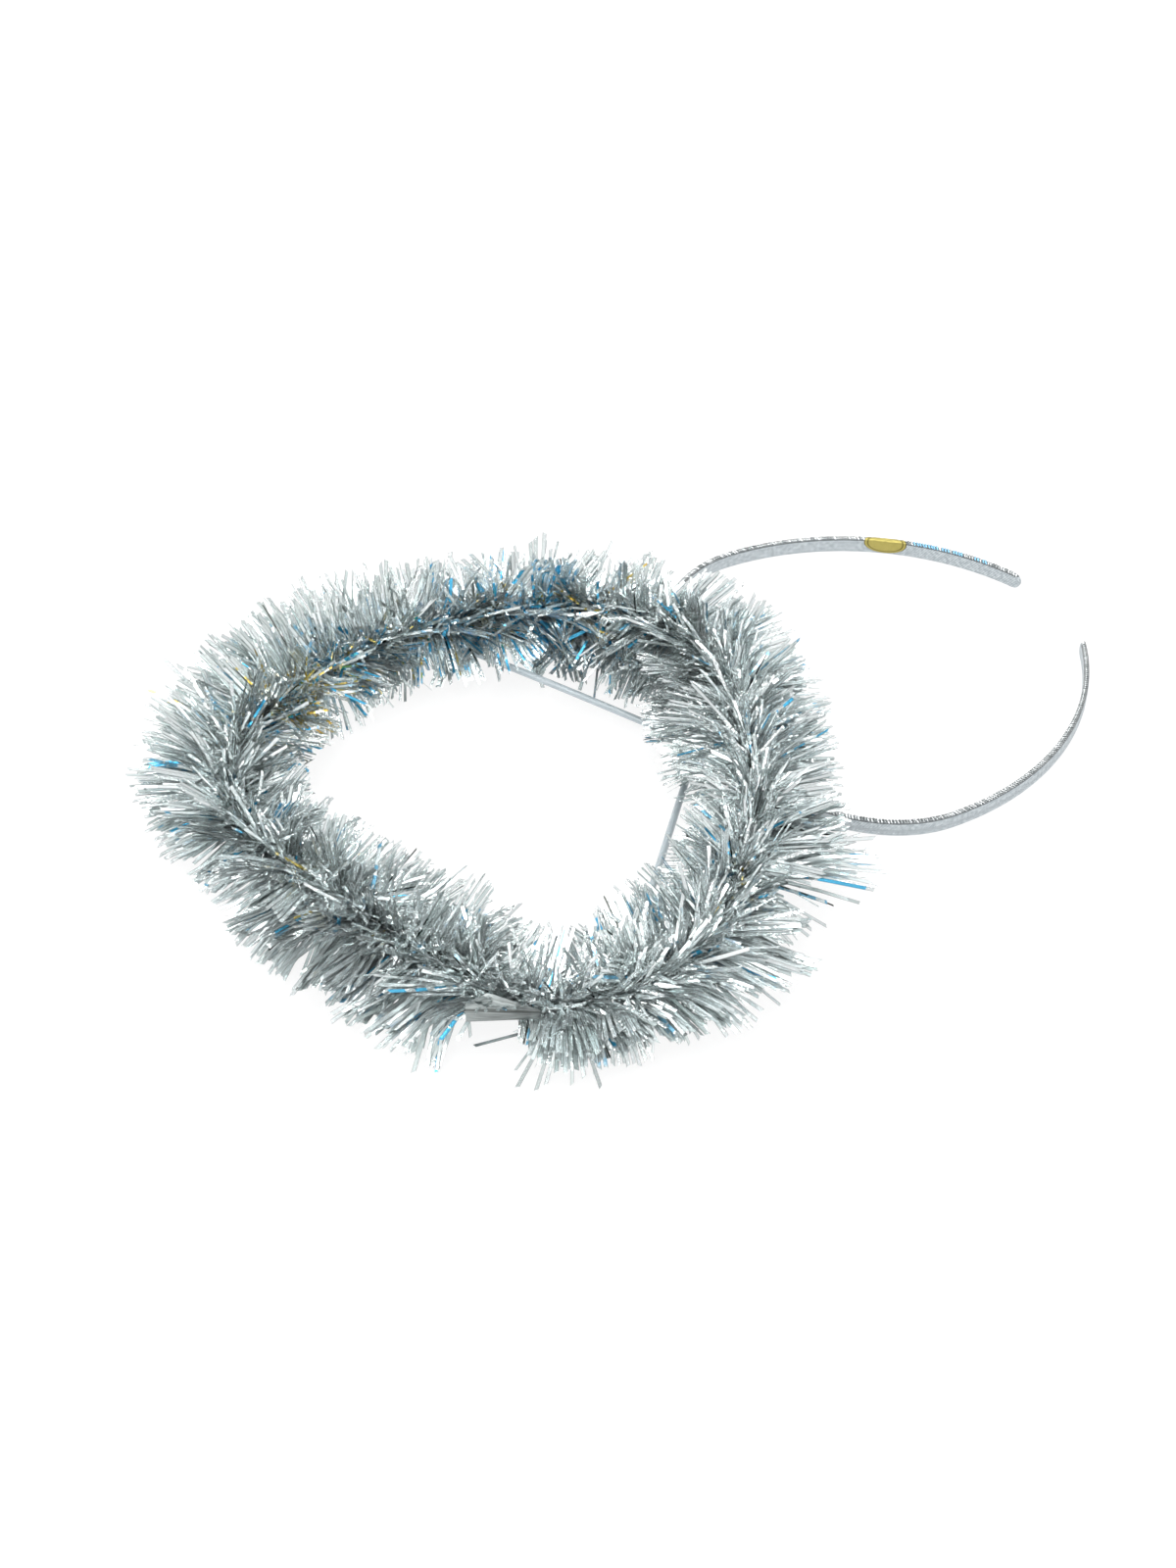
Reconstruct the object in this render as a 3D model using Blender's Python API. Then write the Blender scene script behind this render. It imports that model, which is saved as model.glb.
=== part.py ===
"""A halo headband lying flat: a cloth-covered band on its edge, two stalks and a ring of tinsel.

Metres, +Z up. The origin is on the surface it lies on, under the middle of its outline.
+X runs from the ring towards the band's two tips, and the band is symmetric about a line along X.
"""

import math
import random

import bmesh
import bpy
from mathutils import Matrix, Vector

MM = 0.001
GAP = 0.3 * MM
CREASE_ANGLE = math.radians(35)

# The band: a strip on its edge, bent to half an ellipse at the crown and one arc down each leg
BAND_CENTRE = Vector((66.9 * MM, 19.2 * MM, 0))
BAND_HALF_WIDTH = 68.0 * MM
BAND_CROWN_DEPTH = 48.5 * MM
LEG_RADIUS = 84 * MM
LEG_LENGTH = 97.5 * MM
BAND_HEIGHT = 5.2 * MM
BAND_THICKNESS = 1.8 * MM
BAND_EDGE = 0.5 * MM
CROWN_STEPS = 15
LEG_STEPS = 13
# Stations that round a tip off, by their distance from its end, and the thickness left at the end
TIP_ROUNDING = (0.12 * MM, 0.6 * MM, 1.4 * MM, 2.6 * MM)
TIP_THINNING = 0.6

# The label: an oval round the upper edge of the leg at +Y, its place measured from the leg's tip
LABEL_FROM_TIP = 46.1 * MM
LABEL_HALF_LENGTH = 6.9 * MM
LABEL_HALF_GIRTH = 3.7 * MM
LABEL_MIDDLE_HEIGHT = 4.3 * MM
LABEL_THICKNESS = 0.25 * MM
LABEL_ROWS = 9
LABEL_COLUMNS = 6

# The stalks: straight sleeves from the clip on the crown to the ring's backing, their ends in millimetres
STALK_RADIUS = 1.05 * MM
STALK_SIDES = 12
STALK_LEFT = {"start": (14.2, 13.7, 2.9), "towards": (-40.2, 78.6, 15.0)}
STALK_RIGHT = {"start": (13.1, 7.8, 2.9), "towards": (-54.0, -79.0, 15.0)}

# The clip: a saddle over the crown with a boss for the stalks, plain because it is hidden
CLIP_OFFSET_Y = -11.0 * MM
CLIP_LENGTH = 9 * MM
CLIP_WALL = 1.1 * MM
CLIP_BOSS = 3.2 * MM
CLIP_FOOT = 0.4 * MM

# The ring of tinsel, a row for each station round it: angle about RING_CENTRE, then in millimetres
# the core's distance from there, its height, the reach of the locks outwards and inwards,
# and the radius of the backing
RING_CENTRE = Vector((-44.3 * MM, -11.1 * MM, 0))
RING_COLUMNS = ("angle", "distance", "height", "out", "in", "backing")
RING_STATIONS = (
    (0, 64.0, 18.8, 21.0, 23.5, 12.0),
    (30, 84.5, 18.8, 20.5, 22.0, 12.0),
    (60, 94.5, 16.8, 19.5, 22.0, 12.0),
    (90, 92.0, 16.0, 21.0, 20.0, 12.0),
    (120, 92.5, 16.0, 25.0, 19.0, 12.0),
    (143, 92.5, 16.0, 25.0, 19.0, 12.0),
    (163, 76.5, 16.0, 25.5, 20.0, 12.0),
    (182, 63.5, 16.0, 26.5, 20.5, 12.0),
    (210, 59.5, 16.0, 27.0, 21.0, 12.0),
    (224, 63.5, 16.0, 25.5, 20.0, 10.5),
    (235, 70.5, 16.0, 9.0, 18.0, 6.2),
    (242, 70.2, 16.0, 12.0, 17.0, 5.8),
    (249, 71.0, 16.0, 22.0, 17.0, 8.5),
    (258, 71.0, 16.0, 21.5, 18.0, 11.5),
    (272, 68.5, 16.0, 18.5, 20.0, 12.0),
    (300, 60.0, 17.0, 24.5, 20.5, 12.0),
    (325, 57.0, 18.8, 27.0, 22.0, 12.0),
)
REACH_UP = 19.5 * MM
SECTIONS = 120
SIDES = 14
PATH_SAMPLES = 720
SLOPE_STEP = 0.5

# The locks: each rises from one face of the backing's grid to a blunt edge. Its reach is a random share
# of the full one, its tip sways and spreads by a share of the face, and it keeps clear of other pieces
LOCK_REACH_SPREAD = (0.84, 1.0)
LOCK_TIP_SHARE = 0.3
LOCK_SWAY = 0.15
LOCKS_ALONG_RING = 0.5
SHORTEST_LOCK = 1.2 * MM
LOCK_CLEARANCE = 3.0 * MM
MARCH = 0.5 * MM
SEED = 11

# The strip of uncut film along the outside of the garland's join, from its wide end to its narrow one
WRAP_START = Vector((-93.2 * MM, -72.6 * MM, 16 * MM))
WRAP_END = Vector((-78.7 * MM, -79.4 * MM, 16 * MM))
WRAP_START_HEIGHT = 5.2 * MM
WRAP_END_HEIGHT = 3.0 * MM
WRAP_THICKNESS = 0.8 * MM
WRAP_BULGE = 0.5 * MM
WRAP_STEPS = 6


def clear_scene():
    for obj in list(bpy.data.objects):
        bpy.data.objects.remove(obj, do_unlink=True)


def material(name, colour, roughness, metallic, alpha=1.0):
    made = bpy.data.materials.new(name)
    made.use_nodes = True
    shader = made.node_tree.nodes["Principled BSDF"]
    shader.inputs["Base Color"].default_value = (*colour, 1)
    shader.inputs["Roughness"].default_value = roughness
    shader.inputs["Metallic"].default_value = metallic
    shader.inputs["Alpha"].default_value = alpha
    made.diffuse_color = (*colour, alpha)
    return made


def add_object(name, shape, finish):
    """Turns a bmesh into a named object, its faces outwards and its round stretches shaded smooth."""
    bmesh.ops.recalc_face_normals(shape, faces=shape.faces)
    if shape.calc_volume(signed=True) < 0:
        bmesh.ops.reverse_faces(shape, faces=shape.faces)
    mesh = bpy.data.meshes.new(name)
    shape.to_mesh(mesh)
    shape.free()
    mesh.shade_smooth()
    mesh.set_sharp_from_angle(angle=CREASE_ANGLE)
    mesh.materials.append(finish)
    obj = bpy.data.objects.new(name, mesh)
    bpy.context.scene.collection.objects.link(obj)
    return obj


def mix(a, b, share):
    return a + (b - a) * share


def skin(sections):
    """A closed bmesh over a row of sections, each a loop of the same number of points."""
    shape = bmesh.new()
    loops = [[shape.verts.new(point) for point in section] for section in sections]
    count = len(loops[0])
    for first, second in zip(loops, loops[1:]):
        for i in range(count):
            j = (i + 1) % count
            shape.faces.new((first[i], first[j], second[j], second[i]))
    shape.faces.new(loops[0])
    shape.faces.new(loops[-1])
    return shape


def leg_place(distance):
    """Point and direction on the leg at +Y, at a distance along it from the band's widest place."""
    turn = distance / LEG_RADIUS
    middle = Vector((0, BAND_HALF_WIDTH - LEG_RADIUS, 0))
    point = middle + LEG_RADIUS * Vector((math.sin(turn), math.cos(turn), 0))
    return BAND_CENTRE + point, Vector((math.cos(turn), -math.sin(turn), 0))


def crown_place(turn):
    """Point and direction on the crown, where turn runs from -90 degrees at -Y to 90 at +Y."""
    point = Vector((-BAND_CROWN_DEPTH * math.cos(turn), BAND_HALF_WIDTH * math.sin(turn), 0))
    along = Vector((BAND_CROWN_DEPTH * math.sin(turn), BAND_HALF_WIDTH * math.cos(turn), 0))
    return BAND_CENTRE + point, along.normalized()


def other_leg(place):
    """The same place on the leg at -Y, still heading from that leg's tip towards the crown."""
    point, along = place
    mirrored = Vector((point.x, 2 * BAND_CENTRE.y - point.y, 0))
    return mirrored, Vector((-along.x, along.y, 0))


def tip_share(from_tip):
    """How much of the band's height is left near a tip, which is a half circle seen from the side."""
    end = BAND_HEIGHT / 2
    if from_tip >= end:
        return 1.0
    return math.sqrt(1 - (1 - from_tip / end) ** 2)


def band_places():
    """Rows of point, direction and share of the height, from the tip at -Y round to the tip at +Y."""
    distances = [LEG_LENGTH * i / LEG_STEPS for i in range(1, LEG_STEPS)]
    distances += [LEG_LENGTH - end for end in reversed(TIP_ROUNDING)]
    leg = [(leg_place(distance), tip_share(LEG_LENGTH - distance)) for distance in distances]
    steps = range(-CROWN_STEPS, CROWN_STEPS + 1)
    crown = [(crown_place(math.pi / 2 * i / CROWN_STEPS), 1.0) for i in steps]
    rows = [(other_leg(place), share) for place, share in reversed(leg)] + crown + leg
    return [(point, along, share) for (point, along), share in rows]


def band_outward(along):
    """Horizontal normal of the band, away from the head."""
    return Vector((-along.y, along.x, 0))


def build_headband(finish):
    half = BAND_THICKNESS / 2
    flat = half - BAND_EDGE
    shoulder = BAND_HEIGHT / 2 - BAND_EDGE
    middle = BAND_HEIGHT / 2
    outline = (
        (half, -shoulder), (half, shoulder), (flat, middle), (-flat, middle),
        (-half, shoulder), (-half, -shoulder), (-flat, -middle), (flat, -middle),
    )
    sections = []
    for point, along, share in band_places():
        outward = band_outward(along)
        width = mix(TIP_THINNING, 1, share)
        loop = [point + outward * n * width + Vector((0, 0, middle + z * share)) for n, z in outline]
        sections.append(loop)
    return add_object("headband", skin(sections), finish)


def label_girth(offset):
    """The way round the band's section from inside to outside over the upper edge, set off by a gap."""
    half = BAND_THICKNESS / 2
    flat = half - BAND_EDGE
    shoulder = BAND_HEIGHT - BAND_EDGE
    top = BAND_HEIGHT + offset
    side = half + offset
    return ((-side, 0.0), (-side, shoulder), (-flat, top), (flat, top), (side, shoulder), (side, 0.0))


def along_girth(girth, distance):
    for (n0, z0), (n1, z1) in zip(girth, girth[1:]):
        length = math.hypot(n1 - n0, z1 - z0)
        if distance <= length:
            share = distance / length
            return mix(n0, n1, share), mix(z0, z1, share)
        distance -= length
    return girth[-1]


def label_sheet(offset):
    """The oval's rows of points, on a sheet that runs round the band at an offset from it."""
    girth = label_girth(offset)
    rows = []
    for row in range(LABEL_ROWS):
        angle = math.pi * (row + 0.5) / LABEL_ROWS
        half_row = LABEL_HALF_LENGTH * math.sin(angle)
        n, z = along_girth(girth, LABEL_MIDDLE_HEIGHT - LABEL_HALF_GIRTH * math.cos(angle))
        line = []
        for column in range(LABEL_COLUMNS + 1):
            shift = half_row * (2 * column / LABEL_COLUMNS - 1)
            point, along = leg_place(LEG_LENGTH - LABEL_FROM_TIP + shift)
            line.append(point + band_outward(along) * n + Vector((0, 0, z)))
        rows.append(line)
    return rows


def rim(rows):
    """The outer points of a sheet of rows, in order round it."""
    middle = rows[1:-1]
    return rows[0] + [row[-1] for row in middle] + rows[-1][::-1] + [row[0] for row in middle[::-1]]


def build_label(finish):
    shape = bmesh.new()
    sheets = []
    for offset in (GAP, GAP + LABEL_THICKNESS):
        sheet = [[shape.verts.new(point) for point in row] for row in label_sheet(offset)]
        for lower, upper in zip(sheet, sheet[1:]):
            for i in range(LABEL_COLUMNS):
                shape.faces.new((lower[i], lower[i + 1], upper[i + 1], upper[i]))
        sheets.append(rim(sheet))
    inner, outer = sheets
    for i in range(len(inner)):
        shape.faces.new((inner[i - 1], inner[i], outer[i], outer[i - 1]))
    return add_object("label", shape, finish)


class Ring:
    """The tinsel's core: a closed smooth curve through the stations, read at equal steps."""

    def __init__(self):
        self.rows = sorted(RING_STATIONS)
        self.angles = [row[0] for row in self.rows]
        samples = [self.at(360 * i / PATH_SAMPLES) for i in range(PATH_SAMPLES + 1)]
        travelled = [0.0]
        for a, b in zip(samples, samples[1:]):
            travelled.append(travelled[-1] + (b["point"] - a["point"]).length)
        self.length = travelled[-1]
        self.stations = []
        sample = 0
        for i in range(SECTIONS):
            wanted = self.length * i / SECTIONS
            while travelled[sample + 1] < wanted:
                sample += 1
            share = (wanted - travelled[sample]) / (travelled[sample + 1] - travelled[sample])
            self.stations.append(self.at(360 * (sample + share) / PATH_SAMPLES))

    def columns(self, angle):
        """The table's values at an angle, by cubics whose slope at a row comes from its neighbours."""
        angle %= 360
        count = len(self.rows)
        last = max(i for i in range(count) if self.angles[i] <= angle)
        four = [self.rows[(last + k) % count] for k in (-1, 0, 1, 2)]
        turns = [four[0][0] - (360 if last == 0 else 0), four[1][0]]
        turns += [row[0] + (360 if row[0] <= four[1][0] else 0) for row in four[2:]]
        span = turns[2] - turns[1]
        t = (angle - turns[1]) / span
        values = {}
        for column, name in enumerate(RING_COLUMNS[1:], 1):
            v = [row[column] * MM for row in four]
            slope1 = (v[2] - v[0]) / (turns[2] - turns[0]) * span
            slope2 = (v[3] - v[1]) / (turns[3] - turns[1]) * span
            values[name] = (
                (2 * t**3 - 3 * t**2 + 1) * v[1] + (t**3 - 2 * t**2 + t) * slope1
                + (3 * t**2 - 2 * t**3) * v[2] + (t**3 - t**2) * slope2
            )
        return values

    def point(self, angle):
        values = self.columns(angle)
        turn = math.radians(angle)
        flat = RING_CENTRE + values["distance"] * Vector((math.cos(turn), math.sin(turn), 0))
        return flat + Vector((0, 0, values["height"]))

    def at(self, angle):
        """A station: its values, its point, and the directions outwards and upwards from the core."""
        values = self.columns(angle)
        along = (self.point(angle + SLOPE_STEP) - self.point(angle - SLOPE_STEP)).normalized()
        outward = along.cross(Vector((0, 0, 1))).normalized()
        values.update(angle=angle, point=self.point(angle), outward=outward, upward=outward.cross(along))
        return values


def spoke(station, turn):
    """Unit direction from the core in the station's plane, where turn 0 is outwards and 90 degrees up."""
    return math.cos(turn) * station["outward"] + math.sin(turn) * station["upward"]


def reach(station, turn):
    """How far a full lock goes from the core that way, on an ellipse with its own reach each side."""
    side = station["out"] if math.cos(turn) > 0 else station["in"]
    height = REACH_UP if math.sin(turn) > 0 else min(REACH_UP, station["out"])
    return 1 / math.hypot(math.cos(turn) / side, math.sin(turn) / height)


def segment_distance(point, start, end):
    along = end - start
    share = max(0.0, min(1.0, (point - start).dot(along) / along.length_squared))
    return (point - start - along * share).length


class Obstacles:
    """What the locks stop short of: the surface below, the band, the stalks, the clip and the strip."""

    def __init__(self, stalks, clip, strip):
        self.band = [point.xy for point, _, _ in band_places()]
        self.stalks = stalks
        self.clip = clip
        self.strip = strip

    def blocks(self, point):
        if point.z < 0:
            return True
        if point.z < BAND_HEIGHT + LOCK_CLEARANCE:
            clear = BAND_THICKNESS / 2 + LOCK_CLEARANCE
            for a, b in zip(self.band, self.band[1:]):
                if segment_distance(point.xy, a, b) < clear:
                    return True
        for start, end in self.stalks:
            if segment_distance(point, start, end) < STALK_RADIUS + LOCK_CLEARANCE:
                return True
        centre, radius = self.clip
        if (point - centre).length < radius + LOCK_CLEARANCE:
            return True
        return any((point - spot).length < size + LOCK_CLEARANCE for spot, size in self.strip)


def free_reach(start, direction, least, wanted, obstacles):
    distance = least
    while distance < wanted:
        if obstacles.blocks(start + direction * (distance + MARCH)):
            return distance
        distance += MARCH
    return wanted


def lock_point(here, there, share, turn, length):
    """A point between two stations, never below the surface."""
    first = here["point"] + spoke(here, turn) * length
    second = there["point"] + spoke(there, turn) * length
    point = mix(first, second, share)
    return Vector((point.x, point.y, max(point.z, 0.0)))


def lock_tip(here, there, turn, draw, obstacles):
    """The two ends of a lock's blunt tip and whether they lie along the ring, or None for no lock."""
    step = 2 * math.pi / SIDES
    turn += step * draw.uniform(-LOCK_SWAY, LOCK_SWAY)
    share = 0.5 + draw.uniform(-LOCK_SWAY, LOCK_SWAY)
    wish = draw.uniform(*LOCK_REACH_SPREAD)
    along_ring = draw.random() < LOCKS_ALONG_RING
    least = mix(here["backing"], there["backing"], share)
    wanted = wish * mix(reach(here, turn), reach(there, turn), share)
    start = mix(here["point"], there["point"], share)
    direction = mix(spoke(here, turn), spoke(there, turn), share)
    length = free_reach(start, direction, least, wanted, obstacles)
    if length < least + SHORTEST_LOCK:
        return None
    spread = (0, LOCK_TIP_SHARE * step)
    if along_ring:
        spread = (LOCK_TIP_SHARE, 0)
    ends = [
        lock_point(here, there, share + k * spread[0], turn + k * spread[1], length)
        for k in (-1, 1)
    ]
    return ends, along_ring


def build_tinsel(ring, obstacles, finish):
    """The backing's grid of faces, each drawn out into a lock that ends in a blunt edge."""
    draw = random.Random(SEED)
    turns = [2 * math.pi * (side + 0.5) / SIDES for side in range(SIDES)]
    shape = bmesh.new()
    grid = [
        [shape.verts.new(s["point"] + spoke(s, turn) * s["backing"]) for turn in turns]
        for s in ring.stations
    ]
    for i in range(SECTIONS):
        j = (i + 1) % SECTIONS
        for side in range(SIDES):
            k = (side + 1) % SIDES
            corners = (grid[i][side], grid[j][side], grid[j][k], grid[i][k])
            middle = turns[side] + math.pi / SIDES
            tip = lock_tip(ring.stations[i], ring.stations[j], middle, draw, obstacles)
            if tip is None:
                shape.faces.new(corners)
                continue
            ends, along_ring = tip
            first, second = [shape.verts.new(point) for point in ends]
            a, b, c, d = corners
            if along_ring:
                b, c, d, a = corners
            shape.faces.new((a, b, first))
            shape.faces.new((b, c, second, first))
            shape.faces.new((c, d, second))
            shape.faces.new((d, a, first, second))
    return add_object("tinsel_garland", shape, finish)


def stalk_ends(ring, row):
    """The sleeve's two ends: from the clip to where its far end meets the ring's backing."""
    start = Vector(row["start"]) * MM
    towards = Vector(row["towards"]) * MM
    direction = (towards - start).normalized()
    core = [(s["point"], s["backing"]) for s in ring.stations]
    length = 0.0
    while True:
        end = start + direction * (length + MARCH)
        if any((end - point).length < backing + STALK_RADIUS + GAP for point, backing in core):
            return start, start + direction * length
        length += MARCH


def build_stalk(name, ends, finish):
    start, end = ends
    shape = bmesh.new()
    length = (end - start).length
    bmesh.ops.create_cone(
        shape, cap_ends=True, segments=STALK_SIDES, radius1=STALK_RADIUS, radius2=STALK_RADIUS, depth=length
    )
    turn = (end - start).to_track_quat("Z", "Y").to_matrix().to_4x4()
    bmesh.ops.transform(shape, matrix=Matrix.Translation((start + end) / 2) @ turn, verts=shape.verts)
    return add_object(name, shape, finish)


def clip_place():
    return crown_place(math.asin(CLIP_OFFSET_Y / BAND_HALF_WIDTH))


def clip_ball():
    """A ball round the clip, as its centre and radius."""
    point, along = clip_place()
    centre = point - band_outward(along) * CLIP_BOSS / 2 + Vector((0, 0, BAND_HEIGHT / 2))
    return centre, math.hypot(CLIP_LENGTH / 2, CLIP_BOSS)


def build_clip(finish):
    point, along = clip_place()
    outward = band_outward(along)
    slot = BAND_THICKNESS / 2 + GAP
    outside = slot + CLIP_WALL
    inside = -slot - CLIP_BOSS
    ceiling = BAND_HEIGHT + GAP
    top = ceiling + CLIP_WALL
    outline = (
        (outside, CLIP_FOOT), (outside, top), (inside, top), (inside, CLIP_FOOT),
        (-slot, CLIP_FOOT), (-slot, ceiling), (slot, ceiling), (slot, CLIP_FOOT),
    )
    sections = [
        [point + along * end + outward * n + Vector((0, 0, z)) for n, z in outline]
        for end in (-CLIP_LENGTH / 2, CLIP_LENGTH / 2)
    ]
    return add_object("crown_clip", skin(sections), finish)


def wrap_places():
    """Stations along the strip, which bows a little outwards: point, outward direction and height."""
    along = (WRAP_END - WRAP_START).normalized()
    outward = along.cross(Vector((0, 0, 1)))
    places = []
    for i in range(WRAP_STEPS + 1):
        share = i / WRAP_STEPS
        bow = WRAP_BULGE * math.sin(math.pi * share)
        height = mix(WRAP_START_HEIGHT, WRAP_END_HEIGHT, share)
        places.append((mix(WRAP_START, WRAP_END, share) + outward * bow, outward, height))
    return places


def build_wrap(places, finish):
    sections = []
    for point, outward, height in places:
        up = Vector((0, 0, height / 2))
        thick = outward * WRAP_THICKNESS
        sections.append([point - up, point - up / 2 + thick, point + up / 2 + thick, point + up])
    return add_object("join_wrap", skin(sections), finish)


def main():
    clear_scene()
    cloth = material("silver cloth", (0.55, 0.57, 0.58), 0.42, 0.6)
    gold = material("gold paper", (0.62, 0.55, 0.22), 0.4, 0.8)
    sleeve = material("clear sleeve", (0.62, 0.68, 0.71), 0.2, 0.0, 0.7)
    plastic = material("clip plastic", (0.6, 0.62, 0.63), 0.5, 0.0)
    film = material("tinsel film", (0.6, 0.63, 0.64), 0.25, 0.9)
    uncut = material("uncut film", (0.45, 0.5, 0.5), 0.3, 0.8)
    ring = Ring()
    stalks = [stalk_ends(ring, row) for row in (STALK_LEFT, STALK_RIGHT)]
    wrap = wrap_places()
    strip = [(place, height / 2) for place, _, height in wrap]
    build_headband(cloth)
    build_label(gold)
    build_stalk("stalk_left", stalks[0], sleeve)
    build_stalk("stalk_right", stalks[1], sleeve)
    build_clip(plastic)
    build_wrap(wrap, uncut)
    build_tinsel(ring, Obstacles(stalks, clip_ball(), strip), film)


main()
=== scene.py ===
"""Looks for the halo headband: tinsel strips, cloth-covered band, sleeves and sticker, in metres, +Z up."""

import math

import bpy
import numpy as np
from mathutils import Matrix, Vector


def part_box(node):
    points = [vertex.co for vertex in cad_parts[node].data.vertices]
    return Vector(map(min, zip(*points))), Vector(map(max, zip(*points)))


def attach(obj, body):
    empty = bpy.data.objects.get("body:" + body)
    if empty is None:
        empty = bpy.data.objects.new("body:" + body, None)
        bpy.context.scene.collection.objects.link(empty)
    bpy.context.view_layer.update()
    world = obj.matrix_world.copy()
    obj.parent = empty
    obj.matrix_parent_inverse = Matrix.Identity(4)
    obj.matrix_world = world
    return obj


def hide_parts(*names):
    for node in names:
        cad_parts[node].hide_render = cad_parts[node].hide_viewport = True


bl_info = {
    "name": "Halo Headband",
    "version": (1, 0, 0),
    "blender": (4, 5, 0),
    "location": "3D View > Sidebar > Halo",
    "description": "Dresses the packed halo headband with tinsel, cloth, sleeves and a plain studio",
    "category": "Object",
}

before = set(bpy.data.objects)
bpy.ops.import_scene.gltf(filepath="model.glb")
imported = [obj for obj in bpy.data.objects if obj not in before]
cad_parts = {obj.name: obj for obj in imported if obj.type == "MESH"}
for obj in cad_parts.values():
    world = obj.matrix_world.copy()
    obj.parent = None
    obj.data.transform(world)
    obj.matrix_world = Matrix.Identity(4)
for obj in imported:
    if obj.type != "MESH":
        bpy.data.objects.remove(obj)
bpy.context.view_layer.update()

MM = 0.001
BODY = "root"
STRIP_MAP = "OFBake"
CLOTH_MAP = "cloth"

# The band lies on its edge: half an ellipse at the crown, then one arc down each leg
BAND_CENTRE = np.array((66.9 * MM, 19.2 * MM, 0.0))
BAND_HALF_WIDTH = 68.0 * MM
BAND_CROWN_DEPTH = 48.5 * MM
LEG_RADIUS = 84.0 * MM
LEG_LENGTH = 97.5 * MM
BAND_HEIGHT = 5.2 * MM
BAND_HALF_THICKNESS = 0.9 * MM
TIP_THINNING = 0.6

# The garland's wire, a row for each station round it: angle about RING_CENTRE in degrees, then in
# millimetres its distance from there, its height and the strips' reach outwards and inwards, then
# the strips' lean along the wire in degrees
RING_CENTRE = np.array((-44.3 * MM, -11.1 * MM, 0.0))
RING_COLUMNS = ("angle", "distance", "height", "outwards", "inwards", "lean")
RING_STATIONS = (
    (0, 64.0, 18.8, 22.5, 26.5, 0),
    (30, 84.5, 18.8, 22.0, 25.5, -8),
    (60, 94.5, 16.8, 21.5, 30.5, -24),
    (75, 92.6, 16.2, 23.5, 24.5, -22),
    (90, 92.0, 16.0, 25.0, 18.5, -20),
    (105, 92.2, 16.0, 30.5, 18.0, -12),
    (120, 92.5, 16.0, 31.5, 19.5, -6),
    (131, 93.2, 16.0, 29.5, 20.0, -3),
    (143, 92.5, 16.0, 23.5, 20.5, 0),
    (163, 76.5, 16.0, 20.0, 23.5, 4),
    (182, 63.5, 16.0, 30.0, 24.0, 8),
    (210, 59.5, 16.0, 24.0, 26.5, 8),
    (224, 63.5, 16.0, 30.0, 25.0, 0),
    (235, 70.5, 16.0, 9.0, 21.0, 0),
    (242, 70.2, 16.0, 9.5, 21.0, 0),
    (249, 71.0, 16.0, 17.5, 22.0, 0),
    (258, 71.0, 16.0, 17.5, 25.5, 6),
    (272, 68.5, 16.0, 21.0, 27.5, 6),
    (282, 65.1, 16.4, 25.5, 26.0, 7),
    (293, 62.0, 16.8, 27.5, 24.0, 8),
    (303, 60.0, 17.0, 13.0, 23.0, 8),
    (313, 58.0, 17.8, 32.0, 21.0, 2),
    (325, 57.0, 18.8, 27.0, 17.0, 0),
    (341, 59.0, 18.8, 24.0, 16.0, 0),
    (352, 62.0, 18.8, 23.0, 24.5, 0),
)
PATH_SAMPLES = 720

# The film at the join: the ends of its lower edge, the strip's height at each end, and how far its
# folded part rises at the start, at its peak and at the end
JOIN_START = np.array((-94.4 * MM, -72.0 * MM, 15.6 * MM))
JOIN_END = np.array((-77.0 * MM, -80.2 * MM, 16.6 * MM))
JOIN_STRIP = (4.6 * MM, 2.6 * MM)
JOIN_FOLD = (1.0 * MM, 2.6 * MM, 0.2 * MM)

# Strands drawn out at the bottom corner: where each leaves the garland and its tip, in millimetres
LONG_STRANDS = (
    (-77.3, -78.4, 11.0, -92.2, -71.6, 5.0),
    (-75.5, -81.8, 15.0, -85.4, -82.3, 3.0),
    (-75.2, -82.3, 15.0, -86.6, -86.1, 1.0),
    (-73.8, -83.0, 15.0, -82.6, -89.1, 1.0),
    (-72.7, -83.5, 15.0, -79.5, -88.4, 1.0),
    (-71.9, -84.3, 15.0, -76.6, -85.7, 3.0),
    (-70.3, -85.0, 15.0, -73.4, -91.3, 1.0),
    (-69.4, -85.4, 15.0, -69.6, -90.5, 1.0),
    (-68.5, -85.9, 15.0, -67.2, -95.4, 1.0),
    (-67.2, -86.1, 15.0, -63.1, -91.1, 3.0),
    (-66.2, -86.2, 15.0, -59.4, -89.7, 4.0),
)

# Where strips with blue or gold patches crowd: ring angle and spread in degrees, share blue, share gold
COLOUR_SPOTS = (
    (51, 5, 0.22, 0.01),
    (61, 4, 0.16, 0.08),
    (70, 6, 0.42, 0.03),
    (85, 6, 0.30, 0.03),
    (95, 4, 0.08, 0.14),
    (107, 5, 0.36, 0.06),
    (121, 6, 0.06, 0.36),
    (129, 5, 0.10, 0.12),
)

# The strips' map has this many upright lanes, one finish in each; these are where each kind starts
LANES = 64
PLAIN_LANES = (0, 30)
CREASED_LANES = (30, 42)
# The dark lanes are a painted reflection: near-black strips that mirror dark things
DARK_REFLECTION_LANES = (42, 48)
BLUE_LANES = (48, 56)
GOLD_LANES = (56, 60)
PALE_LANES = (60, 64)

# Each strip has this many segments. Where it lies down it keeps LIFT over the surface, and up to SPREAD more
SEGMENTS = 3
STRIP_PITCH = 0.62 * MM
LIFT = 0.3 * MM
SPREAD = 5.0 * MM

# How far strips keep from the other pieces, and the length below which one is left out
STALK_CLEARANCE = 1.4 * MM
CLIP_CLEARANCE = 0.6 * MM
FILM_CLEARANCE = 2.2 * MM
BAND_CLEARANCE = 0.5 * MM
SHORTEST_STRIP = 2.5 * MM

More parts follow.
